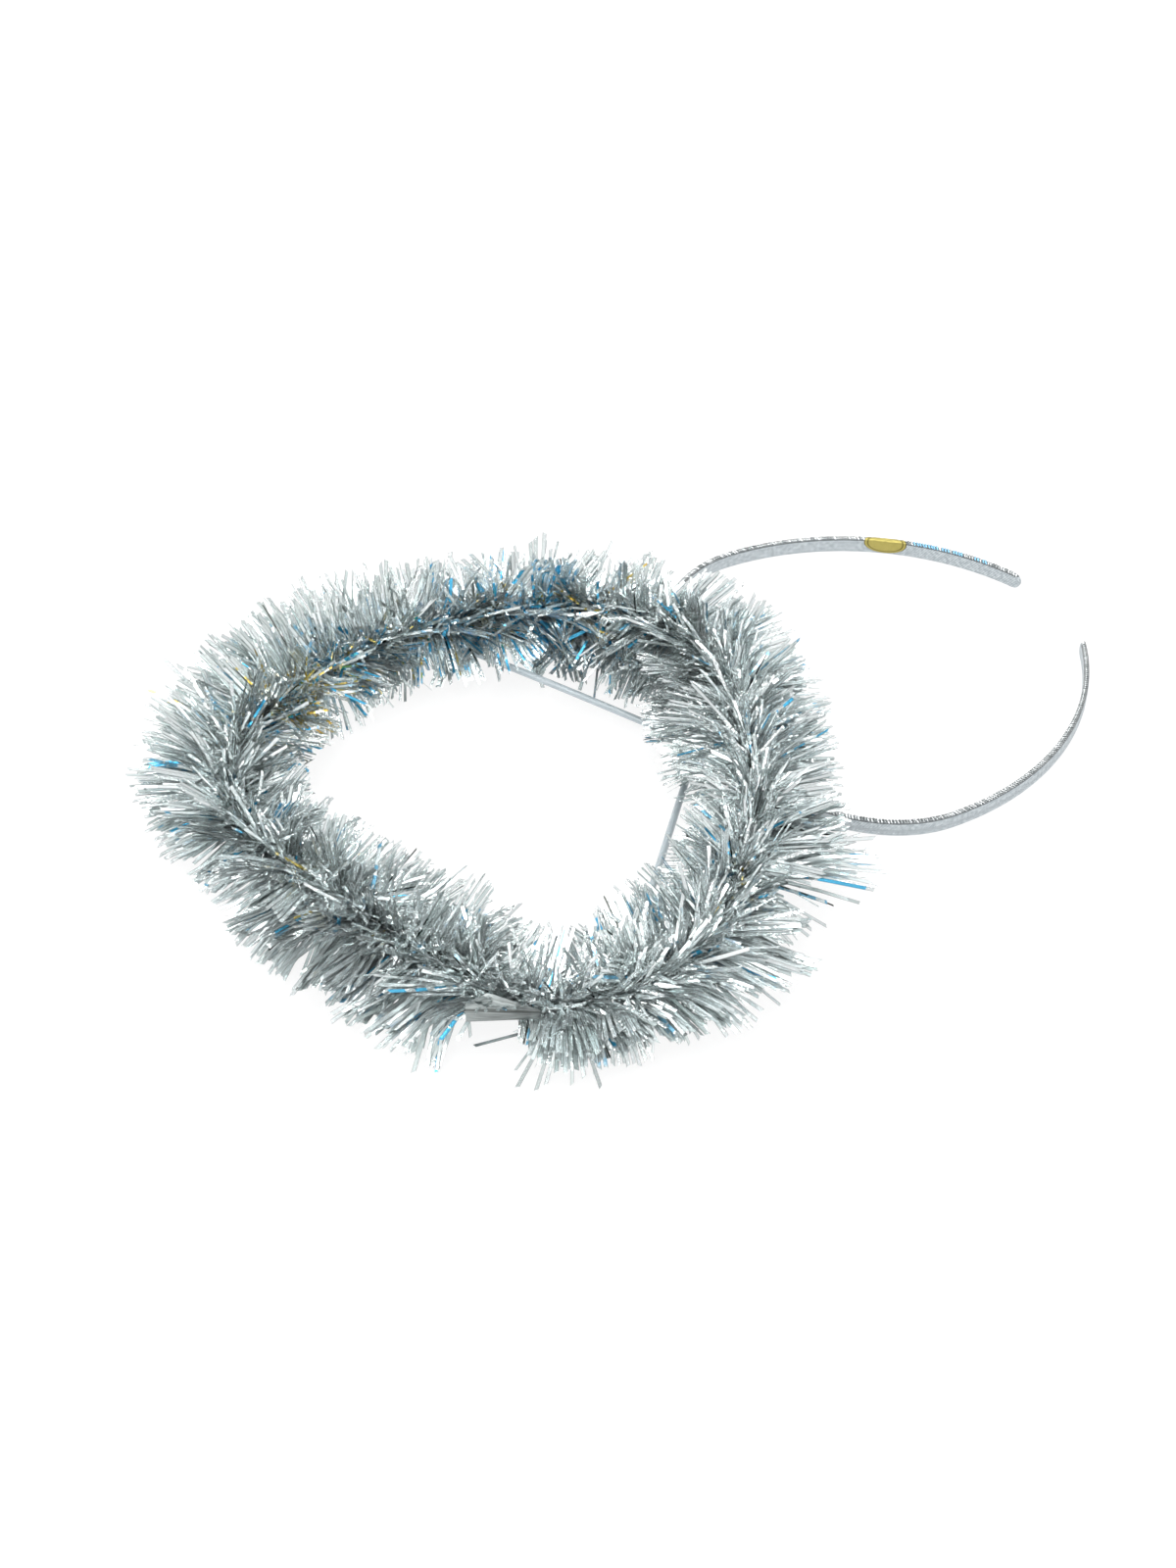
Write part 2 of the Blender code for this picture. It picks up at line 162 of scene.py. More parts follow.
# The room that the film mirrors: noise patches by place and colour, round lamps among them, and the heights
# between which a plain colour below gives way to the room
ROOM_PATCHES = 4.6
ROOM_TONES = (
    (0.0, (0.48, 0.49, 0.495)),
    (0.42, (0.54, 0.55, 0.555)),
    (0.50, (0.68, 0.69, 0.695)),
    (0.58, (0.74, 0.75, 0.755)),
    (0.64, (0.92, 0.92, 0.92)),
    (1.0, (1.08, 1.08, 1.08)),
)
ROOM_LAMPS = 5.0
LAMP_RADIUS = 0.16
LAMP_LIGHT = 13.0
HORIZON = (0.14, 0.30)
BELOW_HORIZON = (0.96, 0.96, 0.96, 1.0)

# The camera's lens in millimetres, the point it looks at, and its height above the horizon in degrees
CAMERA_LENS = 60.75
CAMERA_TARGET = (-19.3 * MM, 12.47 * MM, 0)
CAMERA_ELEVATION = 42.0

# The lights, all aimed at that point: name, place, size and power
LIGHTS = (
    ("key_light", (-0.5, -0.5, 1.1), (0.7, 0.7), 6.0),
    ("back_light", (0.4, 0.9, 0.9), (0.9, 0.3), 2.5),
    ("glint_left", (-0.9, 0.1, 0.6), (0.1, 0.4), 1.6),
    ("glint_right", (0.8, -0.5, 0.7), (0.1, 0.4), 1.6),
    ("glint_top", (0.05, 0.0, 1.2), (0.12, 0.12), 1.6),
)
FLOOR_GLOW = 0.85


def length_property(name, description, default):
    return bpy.props.FloatProperty(
        name=name, description=description, default=default, min=0.0, unit="LENGTH", precision=5
    )


def angle_property(name, description, degrees):
    return bpy.props.FloatProperty(
        name=name, description=description, default=math.radians(degrees), unit="ROTATION"
    )


def colour_property(name, description, default):
    return bpy.props.FloatVectorProperty(
        name=name, description=description, default=default, size=3, min=0.0, max=1.0, subtype="COLOR"
    )


def share_property(name, description, default):
    return bpy.props.FloatProperty(
        name=name, description=description, default=default, min=0.0, max=1.0, subtype="FACTOR"
    )


def count_property(name, description, default):
    return bpy.props.IntProperty(name=name, description=description, default=default, min=1)


class TinselSettings(bpy.types.PropertyGroup):
    """Sizes and colours of the strips of film."""

    tufts: count_property("Tufts", "Bundles of strips round the ring", 930)
    strips: count_property("Strips", "Strips in a full bundle", 9)
    strays: count_property("Strays", "Single strips that lie across the rest", 1100)
    crossing: count_property("Crossing strips", "Strips that lie across the top of the garland", 2600)
    fuzz: count_property("Fuzz", "Short strips that fill the garland round its wire", 2000)
    whiskers: count_property("Whiskers", "Longer single strips at the far left of the ring", 190)
    width: length_property("Strip width", "Width of a cut strip of film", 1.18 * MM)
    thickness: length_property("Film thickness", "Thickness of the film", 0.05 * MM)
    reach_up: length_property("Reach upwards", "Length of the strips that stand up", 19.5 * MM)
    # Light and grey are the two ends of the strips' tone: a painted reflection of strips turned different
    # ways, with painted shade on inner and lower strips
    light: colour_property("Light film", "Colour of the brightest strips", (0.94, 0.98, 0.985))
    grey: colour_property("Grey film", "Colour of the plain strips", (0.70, 0.765, 0.755))
    # Dark is a painted colour: strips that mirror dark things, and the painted shade along the uncut film's
    # fold
    dark: colour_property("Dark film", "Colour of the darkest strips", (0.05, 0.055, 0.05))
    blue: colour_property("Blue patches", "Colour of the blue patches", (0.14, 0.60, 0.92))
    gold: colour_property("Gold patches", "Colour of the gold patches", (0.95, 0.74, 0.24))


class BandSettings(bpy.types.PropertyGroup):
    """Sizes and colours of the band and its cloth."""

    cloth: colour_property("Cloth", "Colour of the metallic cloth", (0.70, 0.76, 0.79))
    # The colour between the ribs is partly the weave's pattern and partly painted shade in its grooves
    shade: colour_property("Between ribs", "Colour of the cloth between its ribs", (0.44, 0.475, 0.49))
    rib_pitch: length_property("Rib pitch", "Distance from one rib of the cloth to the next", 0.85 * MM)
    stitch_pitch: length_property("Stitch pitch", "Distance between loops of the edge yarn", 0.92 * MM)
    stitch_slant: length_property("Stitch slant", "How far along the band a loop runs", 1.1 * MM)
    stitch_size: length_property("Stitch size", "Half the width of a loop of yarn", 0.29 * MM)


class LabelSettings(bpy.types.PropertyGroup):
    """Sizes and colours of the sticker."""

    half_length: length_property("Half length", "Half the sticker's length", 6.9 * MM)
    half_girth: length_property("Half girth", "Half the sticker's size round the band", 3.7 * MM)
    height: length_property("Middle height", "Height of the sticker's middle on the band", 4.3 * MM)
    from_tip: length_property("From the tip", "Distance of its middle from the leg's tip", 46.1 * MM)
    gold: colour_property("Gold", "Colour of the gold paper", (0.37, 0.315, 0.085))


class StalkSettings(bpy.types.PropertyGroup):
    """Sizes and colours of the two sleeved wires and of the garland's own wire."""

    sleeve: colour_property("Sleeve", "Colour of the clear sleeve", (0.61, 0.69, 0.73))
    steel: colour_property("Wire", "Colour of the wire", (0.52, 0.54, 0.55))
    sleeve_radius: length_property("Sleeve radius", "Outer radius of the sleeve", 1.05 * MM)
    bore_radius: length_property("Bore radius", "Inner radius of the sleeve", 0.72 * MM)
    wire_radius: length_property("Wire radius", "Radius of the wire in the sleeve", 0.45 * MM)
    core_radius: length_property("Core radius", "Radius of each wire in the garland", 0.4 * MM)


class StageSettings(bpy.types.PropertyGroup):
    """The camera, the floor and the light."""

    distance: length_property("Camera distance", "From the camera to the point it looks at", 771 * MM)
    azimuth: angle_property("Camera azimuth", "Turn of the camera round the part", -25.53)
    elevation: angle_property("Camera elevation", "Height above the horizon", CAMERA_ELEVATION)
    floor: colour_property("Floor", "Colour of the floor", (0.18, 0.18, 0.18))


class Wire:
    """One output socket of a finish; arithmetic on it adds the Math nodes that work it out."""

    def __init__(self, finish, socket):
        self.finish = finish
        self.socket = socket

    def math(self, operation, *values):
        sockets = dict(enumerate(values))
        return self.finish.node("ShaderNodeMath", {"operation": operation}, sockets)

    def __add__(self, other):
        return self.math("ADD", self, other)

    def __radd__(self, other):
        return self.math("ADD", other, self)

    def __sub__(self, other):
        return self.math("SUBTRACT", self, other)

    def __rsub__(self, other):
        return self.math("SUBTRACT", other, self)

    def __mul__(self, other):
        return self.math("MULTIPLY", self, other)

    def __rmul__(self, other):
        return self.math("MULTIPLY", other, self)

    def __truediv__(self, other):
        return self.math("DIVIDE", self, other)

    def __gt__(self, other):
        return self.math("GREATER_THAN", self, other)

    def __lt__(self, other):
        return self.math("LESS_THAN", self, other)

    def floor(self):
        return self.math("FLOOR", self)

    def wave(self):
        return self.math("SINE", self)


class Finish:
    """A material with a Principled shader, and the nodes that feed it."""

    def __init__(self, name, **constants):
        self.material = bpy.data.materials.new(name)
        self.material.use_nodes = True
        self.tree = self.material.node_tree
        self.shader = self.tree.nodes["Principled BSDF"]
        for socket, value in constants.items():
            self.shader.inputs[socket.replace("_", " ")].default_value = value

    def node(self, kind, settings=None, sockets=None, output=0):
        made = self.tree.nodes.new(kind)
        for name, value in (settings or {}).items():
            if name == "stops":
                set_stops(made.color_ramp, value)
            else:
                setattr(made, name, value)
        for name, value in (sockets or {}).items():
            self.feed(made.inputs[name], value)
        return Wire(self, made.outputs[output])

    def feed(self, socket, value):
        if isinstance(value, Wire):
            self.tree.links.new(value.socket, socket)
        else:
            socket.default_value = value

    def drive(self, **sockets):
        """Feeds the shader's own sockets."""
        for name, value in sockets.items():
            self.feed(self.shader.inputs[name.replace("_", " ")], value)

    def mix(self, factor, first, second, how="MIX"):
        """Colours mixed by a factor; a plain colour has three numbers."""
        colours = [c if isinstance(c, Wire) else (*c, 1.0) for c in (first, second)]
        settings = {"data_type": "RGBA", "blend_type": how}
        return self.node("ShaderNodeMix", settings, {0: factor, 6: colours[0], 7: colours[1]}, 2)

    def map(self, name):
        """The two coordinates of a named map."""
        place = self.node("ShaderNodeUVMap", {"uv_map": name})
        both = place.finish.node("ShaderNodeSeparateXYZ", {}, {0: place})
        return both, Wire(self, both.socket.node.outputs[1])

    def place(self, x, y=0.0, z=0.0):
        return self.node("ShaderNodeCombineXYZ", {}, {0: x, 1: y, 2: z})

    def chance(self, place):
        """A value from 0 to 1 that is random from one place to the next."""
        return self.node("ShaderNodeTexWhiteNoise", {"noise_dimensions": "3D"}, {"Vector": place})

    def noise(self, place, scale, detail=2.0, roughness=0.5):
        sockets = {"Vector": place, "Scale": scale, "Detail": detail, "Roughness": roughness}
        return self.node("ShaderNodeTexNoise", {}, sockets)

    def bump(self, height, distance, strength=1.0):
        return self.node("ShaderNodeBump", {}, {"Height": height, "Distance": distance, "Strength": strength})

    def object_place(self):
        return self.node("ShaderNodeTexCoord", {}, {}, "Object")


def set_stops(ramp, stops):
    """A colour ramp's stops, as pairs of place and colour."""
    while len(ramp.elements) < len(stops):
        ramp.elements.new(1.0)
    for element, (place, colour) in zip(ramp.elements, stops):
        element.position = place
        element.color = (*colour, 1.0)


def film_finish(name, settings):
    """Cut film: one tone to a lane, a painted reflection that differs from strip to strip; patches of colour
    and creases in the lanes kept for them; near-black lanes painted for strips that mirror dark things;
    painted shade along each strip's long edges.
    """
    finish = Finish(name, Metallic=0.88, Specular_IOR_Level=0.5, Specular_Tint=(0.75, 0.8, 0.8, 1.0))
    across, along = finish.map(STRIP_MAP)
    lane = (across * LANES).floor()
    chance = finish.chance(finish.place(lane, 3.5))
    creased = (lane > CREASED_LANES[0] - 0.5) * (lane < CREASED_LANES[1] - 0.5)
    # Painted reflection: the plain lanes step from grey to light, standing in for strips that mirror brighter
    # and darker parts of the room
    tone = lane / PLAIN_LANES[1] * (1 - creased) + chance * creased
    plain = finish.mix(tone, settings.grey, settings.light)
    # Painted reflection: the dark lanes turn near-black for strips that mirror dark things
    dark = (lane > DARK_REFLECTION_LANES[0] - 0.5) * (lane < DARK_REFLECTION_LANES[1] - 0.5)
    with_dark_reflections = finish.mix(dark, plain, settings.dark)
    patches = finish.noise(finish.place(lane * 7.3, along * 5.0), 1.0, 1.0)
    patch = patches > 0.47
    blue = (lane > BLUE_LANES[0] - 0.5) * (lane < BLUE_LANES[1] - 0.5) * patch
    gold = (lane > GOLD_LANES[0] - 0.5) * (lane < GOLD_LANES[1] - 0.5) * patch
    pale = (lane > PALE_LANES[0] - 0.5) * patch
    colour = finish.mix(blue, with_dark_reflections, settings.blue)
    colour = finish.mix(gold, colour, settings.gold)
    colour = finish.mix(pale, colour, (0.28, 0.58, 0.78))
    # Painted shade: each strip's long edges are darkened for the shade that neighbouring strips cast on one
    # another
    local = across * LANES - lane - 0.5
    edge = (local * local) > 0.09
    colour = finish.mix(edge * 0.6, colour, (0.0, 0.0, 0.0))
    creases = finish.noise(finish.place(across * 120.0, along * 20.0, lane * 3.1), 1.0, 1.0, 0.5)
    finish.drive(
        Base_Color=colour,
        Roughness=0.21 - 0.08 * chance - 0.07 * creased,
        Normal=finish.bump(creases * (0.05 + creased * 0.65), 0.6 * MM, 0.8),
    )
    return finish.material


def cloth_finish(name, settings):
    """Metallic cloth with fine slanting ribs; the map holds distances in metres."""
    finish = Finish(name, Metallic=0.55, Specular_IOR_Level=0.4)
    along, round_band = finish.map(CLOTH_MAP)
    turns = 2 * math.pi / settings.rib_pitch
    ribs = ((along + round_band * 0.75) * turns).wave() * 0.5 + 0.5
    threads = ((along - round_band * 1.4) * (turns * 1.9)).wave() * 0.5 + 0.5
    weave = ribs * 0.7 + threads * 0.3
    grain = finish.noise(finish.place(along * 1000.0, round_band * 1000.0), 0.9, 3.0)
    # The weave's pattern, with painted shade in the grooves between the ribs
    colour = finish.mix(weave, settings.shade, settings.cloth)
    fleck = (grain - 0.36) * 3.5
    colour = finish.mix(1.0, colour, finish.mix(fleck, (0.66, 0.68, 0.70), (1.0, 1.0, 1.0)), "MULTIPLY")
    # Painted shade under the edge yarn: above 4.55 mm the cloth turns near-black, where it shows between and
    # beneath the loops
    place = finish.node("ShaderNodeSeparateXYZ", {}, {0: finish.object_place()}, "Z")
    colour = finish.mix((place > 4.55 * MM) * 0.7, colour, (0.03, 0.035, 0.035))
    finish.drive(
        Base_Color=colour,
        Roughness=0.34 + 0.18 * grain,
        Normal=finish.bump(weave * 0.6 + grain, 0.11 * MM, 0.8),
    )
    return finish.material


def yarn_finish(name):
    """Metallic yarn: bright and dark loops, some of them blue."""
    finish = Finish(name, Metallic=0.95, Specular_IOR_Level=0.5)
    across, along = finish.map(STRIP_MAP)
    lane = (across * LANES).floor()
    tone = lane / CREASED_LANES[1]
    colour = finish.mix(tone, (0.22, 0.24, 0.24), (0.95, 0.97, 0.98))
    blue = (lane > BLUE_LANES[0] - 0.5) * (lane < BLUE_LANES[1] - 0.5)
    colour = finish.mix(blue, colour, (0.30, 0.62, 0.86))
    twist = (along * 40.0).wave() * 0.5 + 0.5
    finish.drive(Base_Color=colour, Roughness=0.16 + 0.14 * tone, Normal=finish.bump(twist, 0.06 * MM, 0.6))
    return finish.material


def paper_finish(name, settings):
    """Gold paper with a fine grain, with painted shade in its pressed oval and at its edge."""
    finish = Finish(name, Metallic=0.75, Specular_IOR_Level=0.5)
    place = finish.object_place()
    radius, _ = finish.map(STRIP_MAP)
    # Painted shade: the pressed oval's groove and the sloping rim are darkened
    pressed = (radius > 0.79) * (radius < 0.87)
    rim = radius > 0.955
    grain = finish.noise(place, 2600.0, 3.0, 0.6)
    worn = finish.noise(place, 420.0, 2.0)
    pale = tuple(min(1.0, channel * 1.3 + 0.02) for channel in settings.gold)
    colour = finish.mix(worn, settings.gold, pale)
    colour = finish.mix(pressed * 0.6 + rim * 0.7, colour, (0.06, 0.05, 0.01))
    finish.drive(Base_Color=colour, Roughness=0.30 + 0.14 * grain, Normal=finish.bump(grain, 0.08 * MM, 0.8))
    return finish.material


def sleeve_finish(name, settings):
    """Clear plastic sleeve, slightly cloudy, with faint drawn lines."""
    finish = Finish(
        name, Metallic=0.0, IOR=1.46, Transmission_Weight=0.3, Specular_IOR_Level=0.6, Coat_Weight=0.4
    )
    place = finish.object_place()
    cloud = finish.noise(place, 260.0, 2.0)
    pale = tuple(channel * 0.86 for channel in settings.sleeve)
    colour = finish.mix(cloud, settings.sleeve, pale)
    finish.drive(Base_Color=colour, Roughness=0.16 + 0.12 * cloud, Normal=finish.bump(cloud, 0.04 * MM, 0.4))
    return finish.material


def steel_finish(name, settings):
    """Plain drawn wire."""
    finish = Finish(name, Metallic=1.0)
    grain = finish.noise(finish.object_place(), 900.0, 3.0, 0.7)
    dull = tuple(channel * 0.7 for channel in settings.steel)
    colour = finish.mix(grain, settings.steel, dull)
    finish.drive(Base_Color=colour, Roughness=0.24 + 0.2 * grain, Normal=finish.bump(grain, 0.03 * MM, 0.5))
    return finish.material


def plastic_finish(name):
    """Moulded plastic, matte with a fine skin."""
    finish = Finish(name, Metallic=0.0, Specular_IOR_Level=0.45)
    place = finish.object_place()
    skin = finish.noise(place, 1800.0, 3.0, 0.6)
    colour = finish.mix(finish.noise(place, 150.0), (0.55, 0.57, 0.58), (0.66, 0.68, 0.69))
    finish.drive(Base_Color=colour, Roughness=0.42 + 0.16 * skin, Normal=finish.bump(skin, 0.05 * MM, 0.5))
    return finish.material


def unit(vectors):
    return vectors / np.maximum(np.linalg.norm(vectors, axis=-1, keepdims=True), 1e-12)


def dot(first, second):
    return (first * second).sum(-1, keepdims=True)


def turned(vectors, axes, angles):
    """Vectors turned about unit axes by angles, all arrays of one length."""
    angles = np.asarray(angles)[..., None]
    across, along = np.cross(axes, vectors), axes * dot(axes, vectors)
    return vectors * np.cos(angles) + across * np.sin(angles) + along * (1 - np.cos(angles))


class Route:
    """A line through points, read by the distance along it."""

    def __init__(self, points):
        self.points = np.asarray(points)
        steps = np.linalg.norm(np.diff(self.points, axis=0), axis=1)
        self.travelled = np.concatenate([[0.0], np.cumsum(steps)])
        self.length = self.travelled[-1]
        along = unit(np.gradient(self.points, self.travelled, axis=0))
        self.directions = along

    def at(self, distances):
        """Points and unit directions at distances along the line."""
        read = [np.interp(distances, self.travelled, column) for column in self.points.T]
        along = [np.interp(distances, self.travelled, column) for column in self.directions.T]
        return np.stack(read, -1), unit(np.stack(along, -1))


def band_route():
    """The band's middle line on the surface it lies on, from the tip at -Y round to the tip at +Y."""
    turn = np.linspace(LEG_LENGTH / LEG_RADIUS, 0, 60, endpoint=False)
    leg = np.stack([np.sin(turn), np.cos(turn), 0 * turn], -1) * LEG_RADIUS
    leg[:, 1] += BAND_HALF_WIDTH - LEG_RADIUS
    turn = np.linspace(-math.pi / 2, math.pi / 2, 121)
    crown = np.stack([-BAND_CROWN_DEPTH * np.cos(turn), BAND_HALF_WIDTH * np.sin(turn), 0 * turn], -1)
    other = leg * (1, -1, 1)
    return Route(BAND_CENTRE + np.concatenate([other, crown, leg[::-1]]))


class Core:
    """The garland's wire: a closed smooth curve through the stations, read by the distance along it."""

    def __init__(self):
        self.angles = np.linspace(0, 360, PATH_SAMPLES + 1)
        steps = np.linalg.norm(np.diff(self.points(self.angles), axis=0), axis=1)
        self.travelled = np.concatenate([[0.0], np.cumsum(steps)])
        self.length = self.travelled[-1]

    def columns(self, angles):
        """The table's values at angles, by cubics whose slope at a row comes from its neighbours."""
        rows = np.array(RING_STATIONS, float)
        count = len(rows)
        angles = np.asarray(angles, float) % 360
        last = np.searchsorted(rows[:, 0], angles, side="right") - 1
        four = [rows[(last + k) % count] for k in (-1, 0, 1, 2)]
        turns = [row[..., 0] + 360 * ((last + k) // count) for k, row in zip((-1, 0, 1, 2), four)]
        span = turns[2] - turns[1]
        t = ((angles - turns[1]) / span)[..., None]
        v = [row[..., 1:] for row in four]
        slope1 = (v[2] - v[0]) * (span / (turns[2] - turns[0]))[..., None]
        slope2 = (v[3] - v[1]) * (span / (turns[3] - turns[1]))[..., None]
        made = (2 * t**3 - 3 * t**2 + 1) * v[1] + (t**3 - 2 * t**2 + t) * slope1
        made += (3 * t**2 - 2 * t**3) * v[2] + (t**3 - t**2) * slope2
        values = dict(zip(RING_COLUMNS[1:], np.moveaxis(made, -1, 0)))
        for name in ("distance", "height", "outwards", "inwards"):
            values[name] = values[name] * MM
        values["lean"] = np.radians(values["lean"])
        return values

    def points(self, angles):
        values = self.columns(angles)
        turn = np.radians(angles)
        flat = np.stack([np.cos(turn), np.sin(turn), 0 * turn], -1) * values["distance"][..., None]
        return RING_CENTRE + flat + values["height"][..., None] * np.array((0, 0, 1.0))

    def at(self, distances):
        """Values, points and the directions along, outwards and upwards at distances along the wire."""
        angles = np.interp(np.asarray(distances) % self.length, self.travelled, self.angles)
        values = self.columns(angles)
        values["angle"] = angles
        values["point"] = self.points(angles)
        values["along"] = unit(self.points(angles + 0.5) - self.points(angles - 0.5))
        values["outward"] = unit(np.cross(values["along"], (0, 0, 1.0)))
        values["upward"] = np.cross(values["outward"], values["along"])
        return values


def add_mesh(name, points, quads, finish, coordinates=None, map_name=STRIP_MAP, sharp=math.radians(35)):
    """A piece from arrays of points and four-cornered faces, with one map coordinate to a point."""
    mesh = bpy.data.meshes.new(name)
    quads = np.ascontiguousarray(quads, np.int32)
    mesh.vertices.add(len(points))
    mesh.vertices.foreach_set("co", np.ascontiguousarray(points, np.float32).ravel())
    mesh.loops.add(quads.size)
    mesh.loops.foreach_set("vertex_index", quads.ravel())
    mesh.polygons.add(len(quads))
    mesh.polygons.foreach_set("loop_start", np.arange(0, quads.size, 4, dtype=np.int32))
    mesh.update(calc_edges=True)
    if coordinates is not None:
        layer = mesh.uv_layers.new(name=map_name)
        layer.uv.foreach_set("vector", np.ascontiguousarray(coordinates[quads.ravel()], np.float32).ravel())
    mesh.shade_smooth()
    mesh.set_sharp_from_angle(angle=sharp)
    mesh.materials.append(finish)
    piece = bpy.data.objects.new(name, mesh)
    bpy.context.scene.collection.objects.link(piece)
    return piece


def settle(piece, slot, *replaced):
    """The piece rides with the part and stands for the nodes named; its slot is not used."""
    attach(piece, BODY)
    if replaced:
        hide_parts(*replaced)


def grid_quads(rows, columns, closed_columns=True):
    """Faces of a grid of rows by columns whose points are numbered row by row."""
    row, column = np.meshgrid(np.arange(rows - 1), np.arange(columns - (not closed_columns)), indexing="ij")
    following = (column + 1) % columns
    here = row * columns
    there = here + columns
    return np.stack([here + column, here + following, there + following, there + column], -1).reshape(-1, 4)


def cap_quads(start, count, flip):
    """Faces that close a loop of points with a ladder of quads; count is even."""
    faces = []
    for i in range(count // 2 - 1):
        face = (start + i, start + i + 1, start + count - 2 - i, start + count - 1 - i)
        faces.append(face[::-1] if flip else face)
    return np.array(faces)


def tube(name, points, radius, sides, finish, slot):
    """A round closed rod along points, its radius a number or an array."""
    route = Route(points)
    along = route.directions
    sideways = unit(np.cross(along, (0, 0, 1.0)))
    upward = np.cross(sideways, along)
    turn = 2 * math.pi * np.arange(sides) / sides
    ring = np.cos(turn)[None, :, None] * sideways[:, None] + np.sin(turn)[None, :, None] * upward[:, None]
    radius = np.broadcast_to(np.asarray(radius), (len(points),))
    verts = np.asarray(points)[:, None] + ring * radius[:, None, None]
    quads = grid_quads(len(points), sides)[:, ::-1]
    caps = [cap_quads(0, sides, False), cap_quads((len(points) - 1) * sides, sides, True)]
    piece = add_mesh(name, verts.reshape(-1, 3), np.concatenate([quads, *caps]), finish)
    settle(piece, slot)
    return piece


def band_section(count):
    """The band's rounded outline, in distance outwards and height, and the outward normals."""
    turn = 2 * math.pi * np.arange(count) / count
    power = 2 / 3.6
    across = np.sign(np.cos(turn)) * np.abs(np.cos(turn)) ** power * BAND_HALF_THICKNESS
    height = np.sign(np.sin(turn)) * np.abs(np.sin(turn)) ** power * BAND_HEIGHT / 2
    outline = np.stack([across, height], -1)
    slope = np.roll(outline, -1, 0) - np.roll(outline, 1, 0)
    return outline, unit(np.stack([slope[:, 1], -slope[:, 0]], -1))


def tip_share(from_tip):
    """How much of the band's height is left near a tip, which is a half circle seen from the side."""
    end = BAND_HEIGHT / 2
    return np.sqrt(np.clip(1 - np.clip(1 - from_tip / end, 0, 1) ** 2, 0, 1))


def outward_of(along):
    """Horizontal normal of the band, away from the head."""
    return np.stack([-along[..., 1], along[..., 0], 0 * along[..., 0]], -1)


def build_band(settings):
    """The cloth-covered band, with a map in metres along and round it."""
    route = band_route()
    near_tip = np.array((0.03, 0.12, 0.3, 0.55, 0.9, 1.3, 1.8, 2.6)) * MM
    middle = np.linspace(near_tip[-1], route.length - near_tip[-1], 300)[1:-1]
    distances = np.concatenate([near_tip, middle, route.length - near_tip[::-1]])
    points, along = route.at(distances)
    share = tip_share(np.minimum(distances, route.length - distances))
    outline, _ = band_section(32)
    thinning = TIP_THINNING + (1 - TIP_THINNING) * share
    outward = outward_of(along)
    across = outline[None, :, 0, None] * thinning[:, None, None] * outward[:, None]
    height = BAND_HEIGHT / 2 + outline[None, :, 1] * share[:, None]
    verts = points[:, None] + across + height[..., None] * np.array((0, 0, 1.0))
    girth = np.concatenate([[0], np.cumsum(np.linalg.norm(np.diff(outline, axis=0), axis=1))])
    seam = np.broadcast_to(girth, verts.shape[:2])
    maps = np.stack([np.broadcast_to(distances[:, None], seam.shape), seam], -1)
    sides = len(outline)
    quads = grid_quads(len(distances), sides)
    caps = [cap_quads(0, sides, True), cap_quads((len(distances) - 1) * sides, sides, False)]
    piece = add_mesh(
        "headband_cloth", verts.reshape(-1, 3), np.concatenate([quads, *caps]),
        cloth_finish("silver cloth", settings), maps.reshape(-1, 2), CLOTH_MAP,
    )
    settle(piece, "silver_cloth", "headband")


def lane_places(lanes, across, along):
    """Map coordinates in a strip's own lane."""
    places = np.broadcast_arrays((lanes + 0.15 + 0.7 * across) / LANES, 0.02 + 0.96 * along)
    return np.stack(places, -1)


